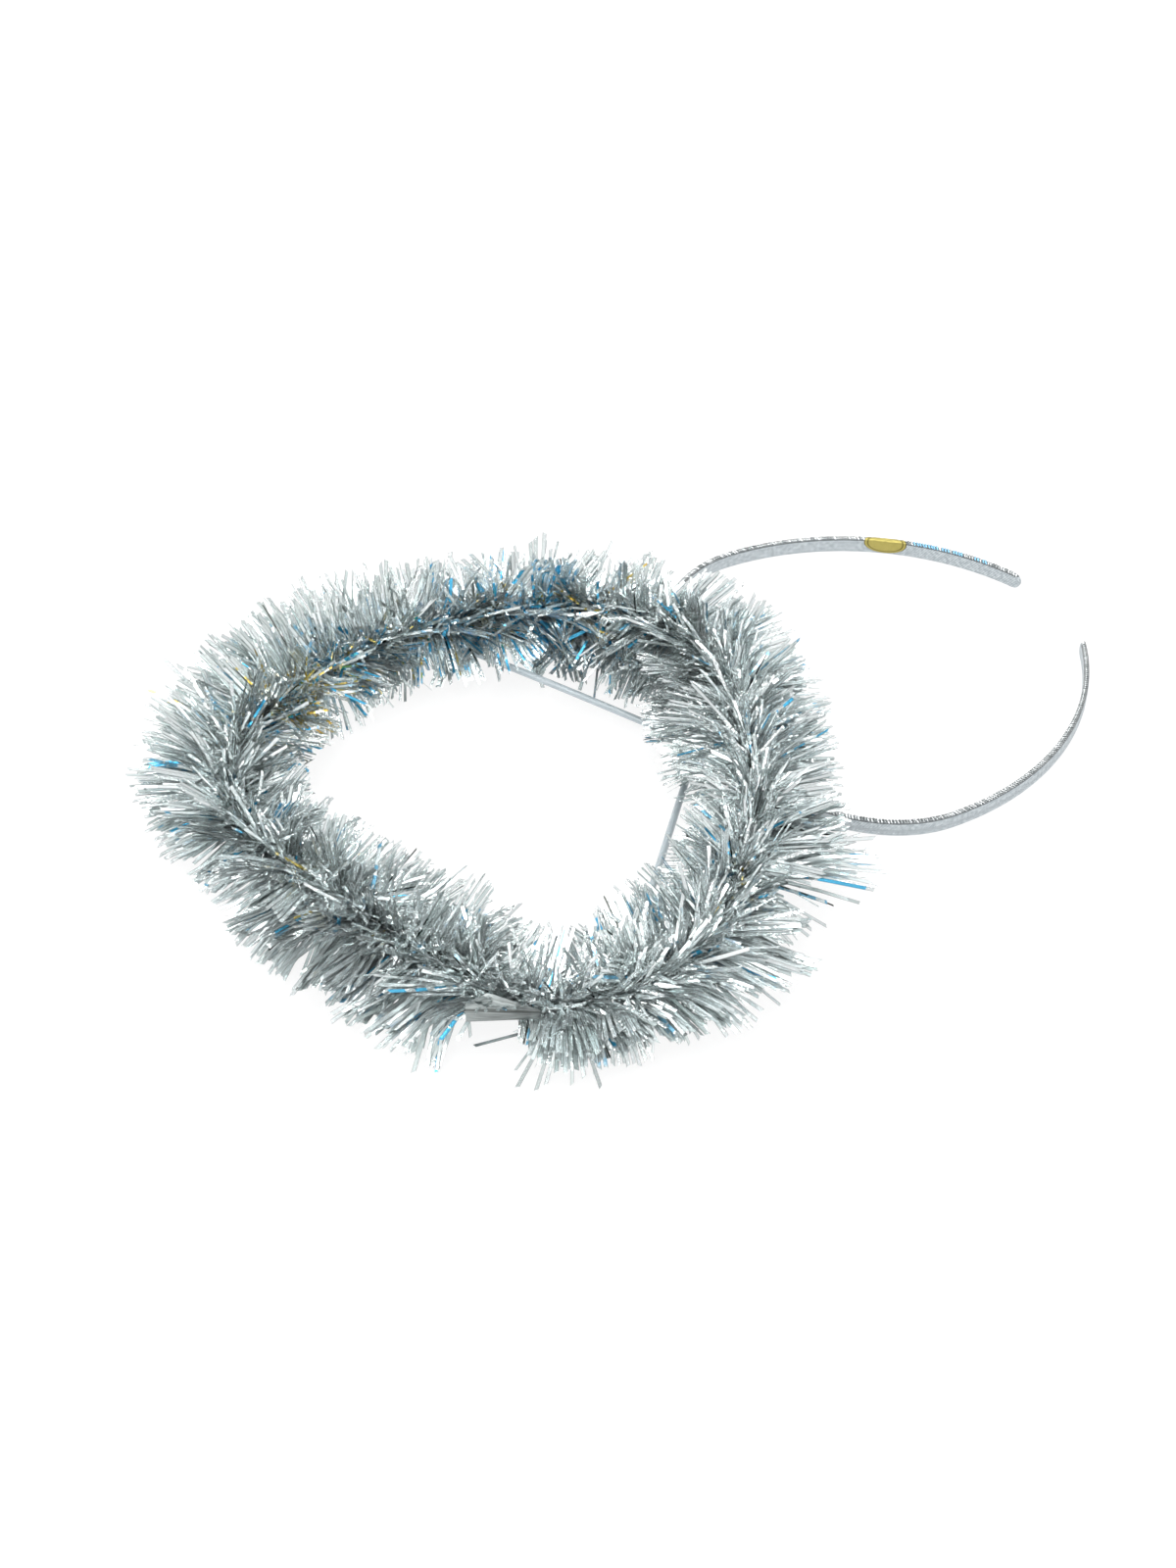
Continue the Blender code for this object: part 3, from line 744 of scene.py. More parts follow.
def build_edge_yarn(settings, label):
    """Slanting loops of yarn that wrap over the band's top edge, joined as one mesh."""
    route = band_route()
    draw = np.random.default_rng(31)
    inset = 1.2 * MM
    distances = np.arange(inset, route.length - inset, settings.stitch_pitch)
    under_label = np.abs(route.length - label.from_tip - distances) < label.half_length + 0.2 * MM
    distances = distances[~under_label]
    count = len(distances)
    distances = distances + settings.stitch_pitch * draw.uniform(-0.1, 0.1, count)
    outline, normals = band_section(48)
    over = slice(7, 18)
    line, out = outline[over], normals[over]
    rows, sides = len(line), 6
    travel = np.linspace(-0.5, 0.5, rows)
    shift = distances[:, None] + travel * settings.stitch_slant * draw.uniform(0.8, 1.2, count)[:, None]
    points, along = route.at(shift)
    outward = outward_of(along)
    share = tip_share(np.minimum(distances, route.length - distances))[:, None]
    up = np.array((0, 0, 1.0))
    lift = settings.stitch_size * 0.35
    middle = points + outward * (line[:, 0] + out[:, 0] * lift)[:, None]
    middle += (BAND_HEIGHT / 2 + (line[:, 1] * share) + out[:, 1] * lift)[..., None] * up
    forward = unit(np.gradient(middle, axis=1))
    normal = unit(outward * out[:, 0, None] + up * out[:, 1, None])
    sideways = unit(np.cross(forward, normal))
    swell = np.sqrt(np.clip(1.02 - (2 * travel) ** 2, 0.06, 1))[:, None, None]
    turn = 2 * math.pi * np.arange(sides) / sides
    size = (settings.stitch_size * draw.uniform(0.85, 1.12, count))[:, None, None, None] * swell
    ring = np.cos(turn)[:, None] * sideways[:, :, None] + np.sin(turn)[:, None] * normal[:, :, None] * 0.6
    verts = middle[:, :, None] + ring * size
    faces = [grid_quads(rows, sides)[:, ::-1], cap_quads(0, sides, False)]
    faces.append(cap_quads((rows - 1) * sides, sides, True))
    quads = (np.concatenate(faces)[None] + np.arange(count)[:, None, None] * rows * sides).reshape(-1, 4)
    lanes = draw.integers(PLAIN_LANES[0], CREASED_LANES[1], count)
    even = 0.85 * np.clip(1.4 - distances / (80 * MM), 0, 1)
    lanes = np.rint(lanes + (8 - lanes) * even).astype(int)
    from_tip = route.length - distances
    blue = (from_tip > 12 * MM) & (from_tip < 39 * MM) & (draw.random(count) < 0.7)
    lanes[blue] = draw.integers(*BLUE_LANES, blue.sum())
    round_yarn = np.abs(np.cos(turn))[None, None]
    places = lane_places(lanes[:, None, None], round_yarn, (travel + 0.5)[None, :, None] + 0 * round_yarn)
    places = np.broadcast_to(places, (count, rows, sides, 2)).reshape(-1, 2)
    piece = add_mesh("edge_yarn", verts.reshape(-1, 3), quads, yarn_finish("edge yarn"), places)
    settle(piece, "silver_cloth")


def build_label(settings):
    """The oval sticker: it lies on the inside of the leg at +Y and wraps over its top edge."""
    route = band_route()
    outline, normals = band_section(720)
    covered = slice(0, 541)
    line, out = outline[covered], normals[covered]
    girth = np.concatenate([[0], np.cumsum(np.linalg.norm(np.diff(line, axis=0), axis=1))])
    side = np.arange(len(line)) > 270
    middle = girth[side][np.argmin(np.abs(line[side, 1] + BAND_HEIGHT / 2 - settings.height))]
    circles = np.array((0.04, 0.2, 0.36, 0.5, 0.62, 0.7, 0.76, 0.79, 0.82, 0.85, 0.88, 0.93, 0.97, 0.99, 1.0))
    relief = np.array((22, 22, 22, 22, 22, 22, 22, 20, 13, 13, 20, 22, 20, 15, 7)) / 100 * MM
    sides = 64
    turn = 2 * math.pi * np.arange(sides) / sides
    shift = circles[:, None] * np.cos(turn) * settings.half_length
    rise = middle - circles[:, None] * np.sin(turn) * settings.half_girth
    layers = []
    for thickness in (relief[:, None] + 0 * shift, 0 * shift + 0.04 * MM):
        n = np.interp(rise, girth, line[:, 0]) + np.interp(rise, girth, out[:, 0]) * thickness
        z = np.interp(rise, girth, line[:, 1]) + np.interp(rise, girth, out[:, 1]) * thickness
        points, along = route.at(route.length - settings.from_tip + shift)
        above = np.stack([0 * z, 0 * z, z + BAND_HEIGHT / 2], -1)
        layers.append(points + outward_of(along) * n[..., None] + above)
    rows = np.concatenate([layers[0], layers[1][::-1]])
    quads = [grid_quads(len(rows), sides)[:, ::-1], cap_quads(0, sides, False)]
    quads.append(cap_quads((len(rows) - 1) * sides, sides, True))
    quads = np.concatenate(quads)
    radii = np.concatenate([circles, circles[::-1]])[:, None]
    places = np.stack(np.broadcast_arrays(radii, turn[None] / (2 * math.pi)), -1).reshape(-1, 2)
    finish = paper_finish("gold paper", settings)
    piece = add_mesh("label_sticker", rows.reshape(-1, 3), quads, finish, places)
    settle(piece, "gold_paper", "label")


def node_ends(name):
    """The two ends of a straight node's middle line, the lower one first."""
    points = np.array([vertex.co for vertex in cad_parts[name].data.vertices])
    centre = points.mean(0)
    along = np.linalg.svd(points - centre, full_matrices=False)[2][0]
    travel = (points - centre) @ along
    ends = [centre + along * travel.min(), centre + along * travel.max()]
    return sorted(ends, key=lambda end: end[2])


def build_stalk(settings, side, sleeve, steel):
    """A wire in its clear sleeve, bowed a little as a hand-bent wire is."""
    node = f"stalk_{side}"
    low, high = node_ends(node)
    share = np.linspace(0, 1, 40)[:, None]
    line = low + (high - low) * share
    bow = np.sin(math.pi * share) * np.array((0, 0, 0.35 * MM))
    outer = settings.sleeve_radius
    lip = np.where((share[:, 0] == 0) | (share[:, 0] == 1), 0.93, 1.0)
    piece = tube(f"{node}_sleeve", line + bow, outer * lip, 24, sleeve, "clear_sleeve")
    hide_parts(node)
    inner = line * 0.992 + 0.004 * (low + high) + bow
    tube(f"{node}_wire", inner, settings.wire_radius, 12, steel, "clear_sleeve")


def build_core(settings, steel):
    """The garland's two wires, twisted round each other."""
    core = Core()
    count = 1100
    distances = core.length * np.arange(count) / count
    here = core.at(distances)
    twists = 66
    for k in range(2):
        turn = 2 * math.pi * twists * np.arange(count) / count + math.pi * k
        spoke = np.cos(turn)[:, None] * here["outward"] + np.sin(turn)[:, None] * here["upward"]
        line = here["point"] + spoke * settings.core_radius * 1.06
        along = unit(np.roll(line, -1, 0) - np.roll(line, 1, 0))
        sideways = unit(np.cross(along, here["upward"]))
        upward = np.cross(sideways, along)
        sides = 6
        angle = 2 * math.pi * np.arange(sides) / sides
        ring = np.cos(angle)[:, None] * sideways[:, None] + np.sin(angle)[:, None] * upward[:, None]
        verts = line[:, None] + ring * settings.core_radius
        quads = grid_quads(count + 1, sides)[:, ::-1] % (count * sides)
        piece = add_mesh(f"garland_wire_{k + 1}", verts.reshape(-1, 3), quads, steel)
        settle(piece, "tinsel_film", "tinsel_garland")


def reach(here, turn, reach_up):
    """How far a strip goes from the wire that way, on an ellipse with its own reach each side."""
    side = np.where(np.cos(turn) > 0, here["outwards"], here["inwards"])
    height = np.where(np.sin(turn) > 0, reach_up, np.minimum(reach_up, here["outwards"]))
    return 1 / np.hypot(np.cos(turn) / side, np.sin(turn) / height)


class Seeds:
    """Where each strip starts and how it goes: one array to a property, an entry to a strip."""

    def __init__(self, settings, core):
        self.settings = settings
        self.core = core
        self.parts = []

    def add(self, **arrays):
        self.parts.append(arrays)

    def joined(self):
        names = self.parts[0].keys()
        return {name: np.concatenate([part[name] for part in self.parts]) for name in names}


def tuft_seeds(seeds, draw):
    """Bundles of strips side by side that fan out from one place, as a slit sheet does."""
    settings, core = seeds.settings, seeds.core
    count = settings.tufts
    distance = core.length * (np.arange(count) + draw.random(count)) / count
    turn = 2 * math.pi * ((np.arange(count) * 0.61803) % 1) + draw.normal(0, 0.2, count)
    turn -= 0.38 * np.sin(2 * turn)
    sizes = draw.integers(settings.strips // 2, settings.strips * 3 // 2, count)
    upright = np.abs(np.sin(turn))
    inner = (1 - np.cos(turn)) / 2
    lean = draw.normal(0, 1, count) * np.radians(9 + 16 * inner + 26 * upright**2)
    length = draw.uniform(0.86, 1.12, count) * (1 - 0.2 * upright * draw.random(count))
    bend = draw.normal(0, math.radians(3), count)
    bend_side = draw.uniform(0, 2 * math.pi, count)
    face = draw.normal(0, 1, count) * np.radians(8 + 14 * inner)
    twist = draw.normal(0, math.radians(3), count)
    fan = draw.normal(math.radians(0.9), math.radians(1.1), count)
    # Painted shade: strips on the inner side and strips pointing down get a lower tone. Outer strips round
    # angle 108 get a lower tone too.
    tone = draw.uniform(0.6, 1.05, count) - 0.25 * inner - 0.2 * np.clip(-np.sin(turn), 0, 1) ** 0.5
    tone -= 0.55 * (1 - inner) * np.exp(-(((core.at(distance)["angle"] - 108) / 38) ** 2))
    owner = np.repeat(np.arange(count), sizes)
    place = np.concatenate([np.arange(size) - (size - 1) / 2 for size in sizes])
    n = len(owner)
    seeds.add(
        distance=distance[owner] + place * STRIP_PITCH,
        turn=turn[owner] + draw.normal(0, math.radians(1.7), n),
        lean=lean[owner] + place * fan[owner] + draw.normal(0, math.radians(1.2), n),
        length=length[owner] * draw.normal(1.0, 0.05, n),
        bend=bend[owner] + draw.normal(0, math.radians(1.0), n),
        bend_side=bend_side[owner] + draw.normal(0, 0.3, n),
        face=face[owner] + draw.normal(0, math.radians(3.5), n),
        twist=twist[owner] + draw.normal(0, math.radians(2), n),
        kink=np.zeros(n),
        width=draw.uniform(0.9, 1.08, n) * (1 - 0.3 * inner[owner]),
        creased=draw.random(n) < 0.08 + 0.35 * inner[owner],
        tone=np.clip(tone[owner] + draw.normal(0, 0.32, n), 0, 0.9999),
    )


def single_seeds(
    seeds, draw, count, turns, lengths, lean, creased,
    kinks=(0, 0), flatness=0.0, angles=None, tones=(0.45, 1.0),
):
    """Single strips, each going its own way; some are folded over a third of the way out."""
    core = seeds.core
    turn = np.radians(draw.uniform(*turns, count))
    turn -= flatness * np.sin(2 * turn) / 2
    distance = core.length * draw.random(count)
    if angles:
        distance = np.interp(draw.uniform(*angles, count), core.angles, core.travelled)
    seeds.add(
        distance=distance,
        turn=turn,
        lean=draw.normal(0, math.radians(lean), count),
        length=draw.uniform(*lengths, count),
        bend=draw.normal(0, math.radians(3), count),
        bend_side=draw.uniform(0, 2 * math.pi, count),
        face=draw.uniform(0, math.pi, count),
        twist=draw.normal(0, math.radians(10), count),
        kink=np.radians(draw.uniform(*kinks, count)),
        width=draw.uniform(0.7, 1.0, count),
        creased=draw.random(count) < creased,
        tone=draw.uniform(*tones, count),
    )


def band_gaps(points, count):
    """Level distances from points to the nearest of so many points along the band."""
    route = band_route()
    band = route.at(np.linspace(0, route.length, count))[0]
    return np.min(np.linalg.norm(points[:, None, :2] - band[None, :, :2], axis=-1), axis=1)


def floor_height(points):
    """The lowest a strip may lie: the surface, or the band's top where it crosses the band."""
    gap = band_gaps(points, 160)
    return np.where(gap < 3.0 * MM, BAND_HEIGHT + 0.5 * MM, LIFT)


def grow(here, seeds, settings, draw):
    """Each strip's middle line and half-width vectors, from its wire to its tip."""
    turn = seeds["turn"]
    lean = seeds["lean"] + here["lean"]
    spoke = np.cos(turn)[:, None] * here["outward"] + np.sin(turn)[:, None] * here["upward"]
    direction = np.cos(lean)[:, None] * spoke + np.sin(lean)[:, None] * here["along"]
    length = reach(here, turn, settings.reach_up) * seeds["length"]
    start = here["point"] + spoke * 0.6 * MM
    level = unit(direction * (1, 1, 0))
    rise = direction[:, 2]
    rest = draw.random(len(turn)) ** 2 * SPREAD
    for share in (1.0, 0.8, 0.6, 0.4, 1.0):
        direction = level * np.sqrt(1 - rise**2)[:, None] + np.array((0, 0, 1.0)) * rise[:, None]
        travel = length * share
        low = floor_height(start + direction * travel[:, None]) + rest
        rise = np.clip(np.maximum(rise, (low - start[:, 2]) / travel), -1, 0.999)
    direction = level * np.sqrt(1 - rise**2)[:, None] + np.array((0, 0, 1.0)) * rise[:, None]
    side = unit(here["along"] - direction * dot(here["along"], direction))
    bow = turned(side, direction, seeds["bend_side"]) * np.tan(seeds["bend"])[:, None]
    share = np.linspace(0, 1, SEGMENTS + 1)[None, :, None]
    spin = seeds["face"][:, None] + seeds["twist"][:, None] * share[..., 0]
    shape = (len(turn), SEGMENTS + 1, 3)
    side = turned(np.broadcast_to(side[:, None], shape), np.broadcast_to(direction[:, None], shape), spin)
    folded = turned(direction, side[:, 0], seeds["kink"])
    travel = share * length[:, None, None]
    straight = np.minimum(travel, travel[:, 1:2])
    points = start[:, None] + direction[:, None] * straight + folded[:, None] * (travel - straight)
    points += bow[:, None] * travel * share
    points[..., 2] = np.maximum(points[..., 2], LIFT)
    return points, side * (settings.width * seeds["width"] / 2)[:, None, None]


def drawn_strands(settings, draw):
    """Middle lines and half-width vectors of the strands drawn out at the bottom corner."""
    ends = np.array(LONG_STRANDS) * MM
    start, tip = ends[:, :3], ends[:, 3:]
    share = np.linspace(0, 1, SEGMENTS + 1)[None, :, None]
    points = start[:, None] * (1 - share) + tip[:, None] * share
    along = unit(tip - start)
    side = turned(unit(np.cross(along, (0, 0, 1.0))), along, draw.uniform(-0.6, 0.6, len(ends)))
    return points, np.broadcast_to(side[:, None], points.shape) * settings.width * 0.42


def segment_gaps(points, start, end):
    """Distances from points to a straight piece between two ends."""
    along = end - start
    share = np.clip((points - start) @ along / (along @ along), 0, 1)
    return np.linalg.norm(points - start - share[..., None] * along, axis=-1)


def stepping(points, steps):
    """Places along each strip, so many to a segment."""
    share = (np.arange(steps) / steps)[:, None]
    between = points[:, :-1, None] * (1 - share) + points[:, 1:, None] * share
    return between.reshape(len(points), -1, 3)


def short_of_stalks(points):
    """The strips, each one cut short where it would run into a stalk."""
    between = stepping(points, 9)
    left = np.ones(len(points))
    for name in ("stalk_left", "stalk_right"):
        hit = segment_gaps(between, *node_ends(name)) < STALK_CLEARANCE
        left = np.minimum(left, np.where(hit.any(1), hit.argmax(1) / hit.shape[1] - 0.04, 1.0))
    start = points[:, :1]
    return start + (points - start) * np.maximum(left, 0.02)[:, None, None]


def clear_strips(points):
    """Which strips keep off the band, the clip and the join's film, and aren't cut to a stub."""
    between = stepping(points, 4)
    clear = np.linalg.norm(points[:, -1] - points[:, 0], axis=-1) > SHORTEST_STRIP
    low, high = (np.array(corner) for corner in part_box("crown_clip"))
    clear &= ~((between > low - CLIP_CLEARANCE) & (between < high + CLIP_CLEARANCE)).all(-1).any(1)
    rise = np.array((0, 0, JOIN_STRIP[1] / 2))
    near_start = JOIN_START * 0.84 + JOIN_END * 0.16
    clear &= segment_gaps(between, near_start + rise, JOIN_END + rise).min(1) > FILM_CLEARANCE
    film = unit(JOIN_END - JOIN_START)
    travel = (between - JOIN_START) @ film / np.linalg.norm(JOIN_END - JOIN_START)
    beyond = (between - JOIN_START) @ np.cross(film, (0, 0, 1.0))
    beyond += (JOIN_START[2] - between[..., 2]) / math.tan(math.radians(CAMERA_ELEVATION))
    clear &= ~((travel > 0.04) & (travel < 0.66) & (beyond > -0.5 * MM)).any(1)
    low_points = between[..., 2] < BAND_HEIGHT + 0.3 * MM
    strip, sample = np.nonzero(low_points)
    gap = band_gaps(between[strip, sample], 240)
    clear[strip[gap < BAND_HALF_THICKNESS + BAND_CLEARANCE]] = False
    return clear


def choose_lanes(here, strips, draw):
    """A lane of the film's map for each strip: most plain, and coloured ones crowded in their spots."""
    count = len(strips["tone"])
    lanes = (strips["tone"] * PLAIN_LANES[1]).astype(int)
    creased = strips["creased"]
    lanes[creased] = draw.integers(*CREASED_LANES, creased.sum())
    chance = draw.random(count)
    inner = 0.05 + 0.95 * np.exp(-(((np.degrees(strips["turn"]) % 360 - 145) / 45) ** 2))
    blue, gold = np.full(count, 0.012), np.full(count, 0.002)
    for angle, spread, blue_share, gold_share in COLOUR_SPOTS:
        near = inner * np.exp(-(((here["angle"] - angle) / spread) ** 2))
        blue += blue_share * near
        gold += gold_share * near
    limit = np.zeros(count)
    choices = ((BLUE_LANES, blue), (GOLD_LANES, gold), (PALE_LANES, 0.008), (DARK_REFLECTION_LANES, 0.007))
    for kind, share in choices:
        chosen = (chance >= limit) & (chance < limit + share)
        lanes[chosen] = draw.integers(*kind, chosen.sum())
        limit = limit + share
    return lanes


def ribbon_arrays(points, sides, lanes, thickness, slants):
    """Points, faces and map coordinates of thin closed ribbons, all with the same number of sections."""
    along = unit(np.gradient(points, axis=1))
    thick = np.cross(along, unit(sides)) * thickness / 2
    slant = np.zeros(points.shape[:2])
    slant[:, -1] = slants
    shift = along * slant[..., None]
    corners = [
        points + sides + shift + thick, points - sides - shift + thick,
        points - sides - shift - thick, points + sides + shift - thick,
    ]
    verts = np.stack(corners, 2)
    verts[..., 2] = np.maximum(verts[..., 2], 0.05 * MM)
    strips, rows = points.shape[:2]
    faces = np.concatenate([grid_quads(rows, 4), [[3, 2, 1, 0]], np.arange(4)[None] + (rows - 1) * 4])
    quads = (faces[None] + np.arange(strips)[:, None, None] * rows * 4).reshape(-1, 4)
    across = np.array((1.0, 0.0, 0.0, 1.0))[None, None]
    travel = np.linspace(0, 1, rows)[None, :, None]
    places = lane_places(lanes[:, None, None], across + 0 * travel, travel + 0 * across)
    places = np.broadcast_to(places, (strips, rows, 4, 2))
    return verts.reshape(-1, 3), quads, places.reshape(-1, 2)


def build_tinsel(settings):
    """Thousands of strips of film round the wire, in one piece to each quarter of the ring."""
    core = Core()
    draw = np.random.default_rng(7)
    seeds = Seeds(settings, core)
    tuft_seeds(seeds, draw)
    single_seeds(seeds, draw, settings.strays, (0, 360), (0.7, 1.12), 26, 0.1, flatness=0.5)
    single_seeds(seeds, draw, settings.crossing, (15, 165), (0.35, 0.9), 35, 0.5, kinks=(15, 55))
    single_seeds(seeds, draw, settings.fuzz, (0, 360), (0.15, 0.5), 45, 0.8)
    far_left = {"angles": (82, 142), "tones": (0.0, 0.5)}
    single_seeds(seeds, draw, settings.whiskers, (-30, 40), (0.95, 1.13), 12, 0.1, **far_left)
    strips = seeds.joined()
    here = core.at(strips["distance"])
    points, sides = grow(here, strips, settings, draw)
    points = short_of_stalks(points)
    lanes = choose_lanes(here, strips, draw)
    sides[(lanes >= DARK_REFLECTION_LANES[0]) & (lanes < DARK_REFLECTION_LANES[1])] *= 0.45
    sides[(lanes >= GOLD_LANES[0]) & (lanes < GOLD_LANES[1])] *= 0.7
    slants = draw.uniform(-0.5, 0.5, len(lanes)) * MM
    clear = clear_strips(points)
    finish = film_finish("tinsel film", settings)
    quarters = (here["angle"] // 90).astype(int)
    drawn = drawn_strands(settings, draw)
    count = len(LONG_STRANDS)
    points, sides = np.concatenate([points, drawn[0]]), np.concatenate([sides, drawn[1]])
    lanes = np.concatenate([lanes, draw.integers(0, 12, count)])
    slants = np.concatenate([slants, np.full(count, 0.4 * MM)])
    clear = np.concatenate([clear, np.ones(count, bool)])
    quarters = np.concatenate([quarters, np.full(count, 2)])
    for quarter, name in enumerate(("right", "back", "left", "front")):
        chosen = clear & (quarters == quarter)
        verts, quads, places = ribbon_arrays(
            points[chosen], sides[chosen], lanes[chosen], settings.thickness, slants[chosen]
        )
        piece = add_mesh(f"tinsel_strips_{name}", verts, quads, finish, places)
        settle(piece, "tinsel_film", "tinsel_garland")


def uncut_finish(name, settings):
    """Smooth film that was left uncut: long soft creases with painted shade in their hollows, darker towards
    its narrow end, and painted shade along the fold.
    """
    finish = Finish(name, Metallic=0.9, Specular_IOR_Level=0.5)
    across, along = finish.map(STRIP_MAP)
    folds = finish.noise(finish.place(along * 2.0, across * 14.0), 1.0, 3.0, 0.6)
    # Painted shade along the fold
    painted_fold_shade = (across - 0.5) * (across - 0.5) < 0.004
    dull, clear = (tuple(channel * share for channel in settings.grey) for share in (0.12, 0.62))
    # Painted shade: darker where the crease noise is low, in the hollows of the bump; darker towards the
    # narrow end
    colour = finish.mix(folds * 1.6 - 0.1 - along * 0.5, dull, clear)
    colour = finish.mix(painted_fold_shade * 0.6, colour, settings.dark)
    finish.drive(Base_Color=colour, Roughness=0.3 + 0.14 * folds, Normal=finish.bump(folds, 0.5 * MM, 0.5))
    return finish.material


def build_join(settings):
    """The strip of uncut film where the garland's ends meet, its upper half folded back to a point."""
    steps, layers = 15, 9
    share = np.linspace(0, 1, steps)[:, None]
    rise = np.linspace(0, 1, layers)[None]
    low = JOIN_START[None] * (1 - share) + JOIN_END[None] * share
    along = unit(JOIN_END - JOIN_START)
    outward = np.cross(along, (0, 0, 1.0))
    strip = np.interp(share[:, 0], (0, 1), JOIN_STRIP)[:, None]
    peak = np.interp(share[:, 0], (0, 0.3, 1), JOIN_FOLD)[:, None]
    height = strip * np.minimum(rise * 2, 1) + peak * np.maximum(rise * 2 - 1, 0)
    lie = 0.7 * MM * np.sin(math.pi * np.minimum(rise * 2, 1)) * np.sin(math.pi * share)
    lie = lie - 1.4 * peak * np.maximum(rise * 2 - 1, 0) ** 1.5
    middle = low[:, None] + height[..., None] * np.array((0, 0, 1.0)) + lie[..., None] * outward
    normal = unit(np.cross(np.gradient(middle, axis=0), np.gradient(middle, axis=1)))
    skins = [middle + normal * settings.thickness, (middle - normal * settings.thickness)[:, ::-1]]
    verts = np.concatenate(skins, 1)
    around = 2 * layers
    quads = [grid_quads(steps, around)[:, ::-1], cap_quads(0, around, False)]
    quads.append(cap_quads((steps - 1) * around, around, True))
    across = np.concatenate([rise[0], rise[0, ::-1]])
    places = np.stack(np.broadcast_arrays(across[None], share), -1)
    finish = uncut_finish("uncut film", settings)
    piece = add_mesh("join_film", verts.reshape(-1, 3), np.concatenate(quads), finish, places.reshape(-1, 2))
    settle(piece, "uncut_film", "join_wrap")


def build_clip():
    """Finish for the hidden clip."""
    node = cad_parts["crown_clip"]
    node.data.materials.clear()
    node.data.materials.append(plastic_finish("clip plastic"))


def build_floor(settings):
    """A plain pale floor that glows a little, so that it stays white behind the part."""
    size = 3.0
    points = np.array([(-size, -size, 0), (size, -size, 0), (size, size, 0), (-size, size, 0)])
    finish = Finish("floor", Roughness=0.9, Specular_IOR_Level=0.1, Emission_Strength=FLOOR_GLOW)
    cloud = finish.noise(finish.object_place(), 1.2)
    dim = tuple(channel * 0.99 for channel in settings.floor)
    colour = finish.mix(cloud, settings.floor, dim)
    finish.drive(Base_Color=colour, Emission_Color=(1.0, 1.0, 1.0, 1.0))
    piece = add_mesh("studio_floor", points, np.array([[0, 1, 2, 3]]), finish.material)


def look_towards(thing, target):
    direction = Vector(target) - thing.location
    thing.rotation_euler = direction.to_track_quat("-Z", "Y").to_euler()


def add_light(name, place, size, power, target):
    data = bpy.data.lights.new(name, "AREA")
    data.shape = "RECTANGLE"
    data.size, data.size_y = size
    data.energy = power
    light = bpy.data.objects.new(name, data)
    bpy.context.scene.collection.objects.link(light)
    light.location = place
    look_towards(light, target)


def build_world():
    """A pale room with light and dark patches and small lamps all round, which the film mirrors."""
    world = bpy.data.worlds.new("studio")
    world.use_nodes = True
    nodes, links = world.node_tree.nodes, world.node_tree.links
    place = nodes.new("ShaderNodeTexCoord").outputs["Generated"]
    patches = nodes.new("ShaderNodeTexNoise")
    patches.inputs["Scale"].default_value = ROOM_PATCHES
    patches.inputs["Detail"].default_value = 1.0
    links.new(place, patches.inputs["Vector"])
    ramp = nodes.new("ShaderNodeValToRGB")
    set_stops(ramp.color_ramp, ROOM_TONES)
    links.new(patches.outputs["Fac"], ramp.inputs["Fac"])
    cells = nodes.new("ShaderNodeTexVoronoi")
    cells.inputs["Scale"].default_value = ROOM_LAMPS
    links.new(place, cells.inputs["Vector"])
    lamp = nodes.new("ShaderNodeMath")
    lamp.operation = "LESS_THAN"
    lamp.inputs[1].default_value = LAMP_RADIUS
    links.new(cells.outputs["Distance"], lamp.inputs[0])
    mix = nodes.new("ShaderNodeMix")
    mix.data_type = "RGBA"
    links.new(lamp.outputs[0], mix.inputs[0])
    links.new(ramp.outputs["Color"], mix.inputs[6])
    mix.inputs[7].default_value = (LAMP_LIGHT, LAMP_LIGHT, LAMP_LIGHT, 1.0)
    height = nodes.new("ShaderNodeSeparateXYZ")
    links.new(place, height.inputs[0])
    above = nodes.new("ShaderNodeMapRange")
    above.inputs["From Min"].default_value, above.inputs["From Max"].default_value = HORIZON
    links.new(height.outputs["Z"], above.inputs["Value"])
    room = nodes.new("ShaderNodeMix")
    room.data_type = "RGBA"
    links.new(above.outputs[0], room.inputs[0])
    room.inputs[6].default_value = BELOW_HORIZON
    links.new(mix.outputs[2], room.inputs[7])
    links.new(room.outputs[2], nodes["Background"].inputs["Color"])
    bpy.context.scene.world = world


def build_stage(settings):
    """The camera at the photograph's angle, the floor, the room and the lights."""
    target = Vector(CAMERA_TARGET)
    turn, rise = settings.azimuth, settings.elevation
    back = Vector((math.sin(turn) * math.cos(rise), -math.cos(turn) * math.cos(rise), math.sin(rise)))
    data = bpy.data.cameras.new("camera")
    data.lens = CAMERA_LENS
    data.sensor_width = 36.0
    data.clip_start = 0.01
    camera = bpy.data.objects.new("camera", data)
    bpy.context.scene.collection.objects.link(camera)
    camera.location = target + back * settings.distance
    look_towards(camera, target)
    bpy.context.scene.camera = camera
    bpy.context.scene.view_settings.view_transform = "Standard"
    build_floor(settings)
    build_world()
    for name, place, size, power in LIGHTS:
        add_light(name, place, size, power, target)


class HALO_OT_headband(bpy.types.Operator):
    """Covers the band with cloth and lays the yarn along its edge"""

    bl_idname = "halo.headband"
    bl_label = "Headband"

    def execute(self, context):
        build_band(context.scene.halo_band)
        build_edge_yarn(context.scene.halo_band, context.scene.halo_label)
        return {"FINISHED"}


class HALO_OT_label(bpy.types.Operator):
    """Lays the gold sticker over the band's edge"""

    bl_idname = "halo.label"
    bl_label = "Label"

    def execute(self, context):
        build_label(context.scene.halo_label)
        return {"FINISHED"}


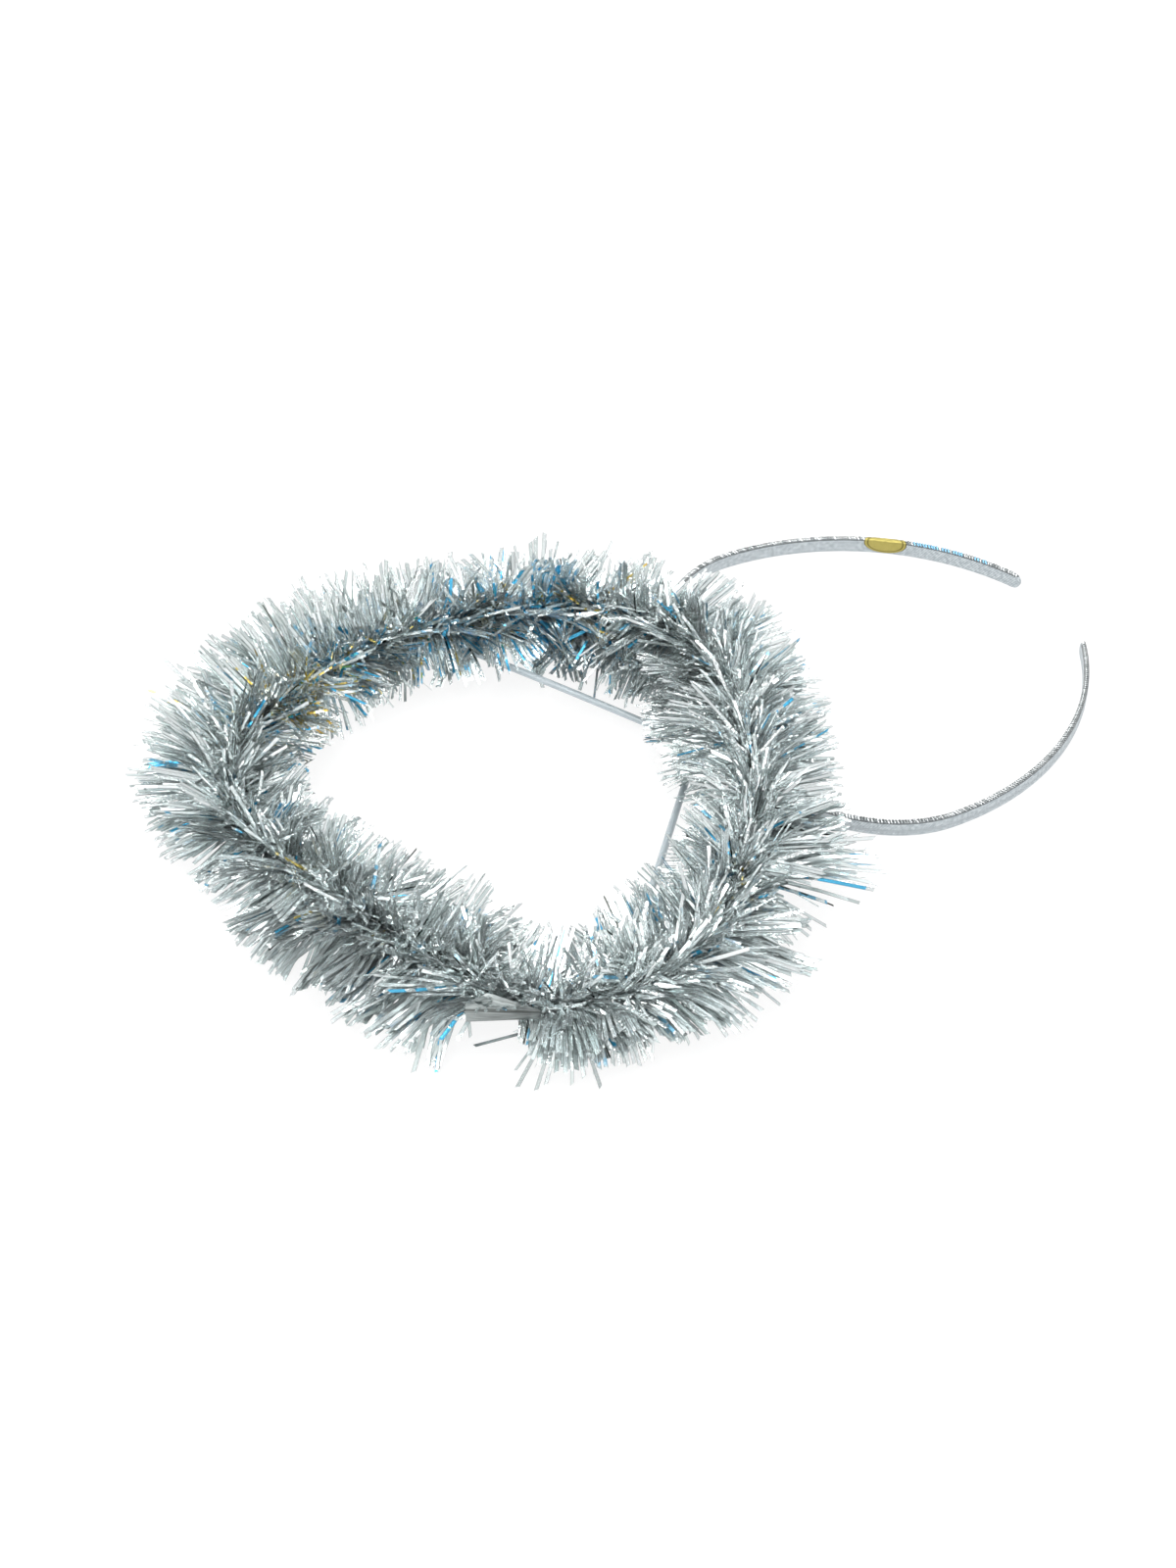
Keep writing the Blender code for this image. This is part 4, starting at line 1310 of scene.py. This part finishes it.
class HALO_OT_stalks(bpy.types.Operator):
    """Makes the two sleeved wires and the garland's own wires, and gives the clip its finish"""

    bl_idname = "halo.stalks"
    bl_label = "Stalks, wires and clip"

    def execute(self, context):
        settings = context.scene.halo_stalks
        sleeve = sleeve_finish("clear sleeve", settings)
        steel = steel_finish("steel wire", settings)
        for side in ("left", "right"):
            build_stalk(settings, side, sleeve, steel)
        build_core(settings, steel)
        build_clip()
        return {"FINISHED"}


class HALO_OT_tinsel(bpy.types.Operator):
    """Grows the strips of film round the ring"""

    bl_idname = "halo.tinsel"
    bl_label = "Tinsel"

    def execute(self, context):
        build_tinsel(context.scene.halo_tinsel)
        build_join(context.scene.halo_tinsel)
        return {"FINISHED"}


class HALO_OT_stage(bpy.types.Operator):
    """Sets the floor, the light and the camera"""

    bl_idname = "halo.stage"
    bl_label = "Stage"

    def execute(self, context):
        build_stage(context.scene.halo_stage)
        return {"FINISHED"}


class HALO_PT_panel(bpy.types.Panel):
    """Lists the pieces of the halo headband."""

    bl_label = "Halo Headband"
    bl_idname = "HALO_PT_panel"
    bl_space_type = "VIEW_3D"
    bl_region_type = "UI"
    bl_category = "Halo"

    def draw(self, context):
        for operator, group in PIECES:
            column = self.layout.column(align=True)
            column.operator(operator)
            settings = getattr(context.scene, group)
            for name in settings.__annotations__:
                column.prop(settings, name)


GROUPS = {
    "halo_band": BandSettings,
    "halo_label": LabelSettings,
    "halo_stalks": StalkSettings,
    "halo_tinsel": TinselSettings,
    "halo_stage": StageSettings,
}
PIECES = (
    ("halo.stage", "halo_stage"),
    ("halo.headband", "halo_band"),
    ("halo.label", "halo_label"),
    ("halo.stalks", "halo_stalks"),
    ("halo.tinsel", "halo_tinsel"),
)
CLASSES = (
    *GROUPS.values(), HALO_OT_headband, HALO_OT_label, HALO_OT_stalks, HALO_OT_tinsel, HALO_OT_stage,
    HALO_PT_panel,
)


def register():
    for kind in CLASSES:
        bpy.utils.register_class(kind)
    for name, group in GROUPS.items():
        setattr(bpy.types.Scene, name, bpy.props.PointerProperty(type=group))


def unregister():
    for name in GROUPS:
        delattr(bpy.types.Scene, name)
    for kind in reversed(CLASSES):
        bpy.utils.unregister_class(kind)


def main():
    register()
    for operator, _ in PIECES:
        group, name = operator.split(".")
        getattr(getattr(bpy.ops, group), name)()


if __name__ == "__main__":
    main()
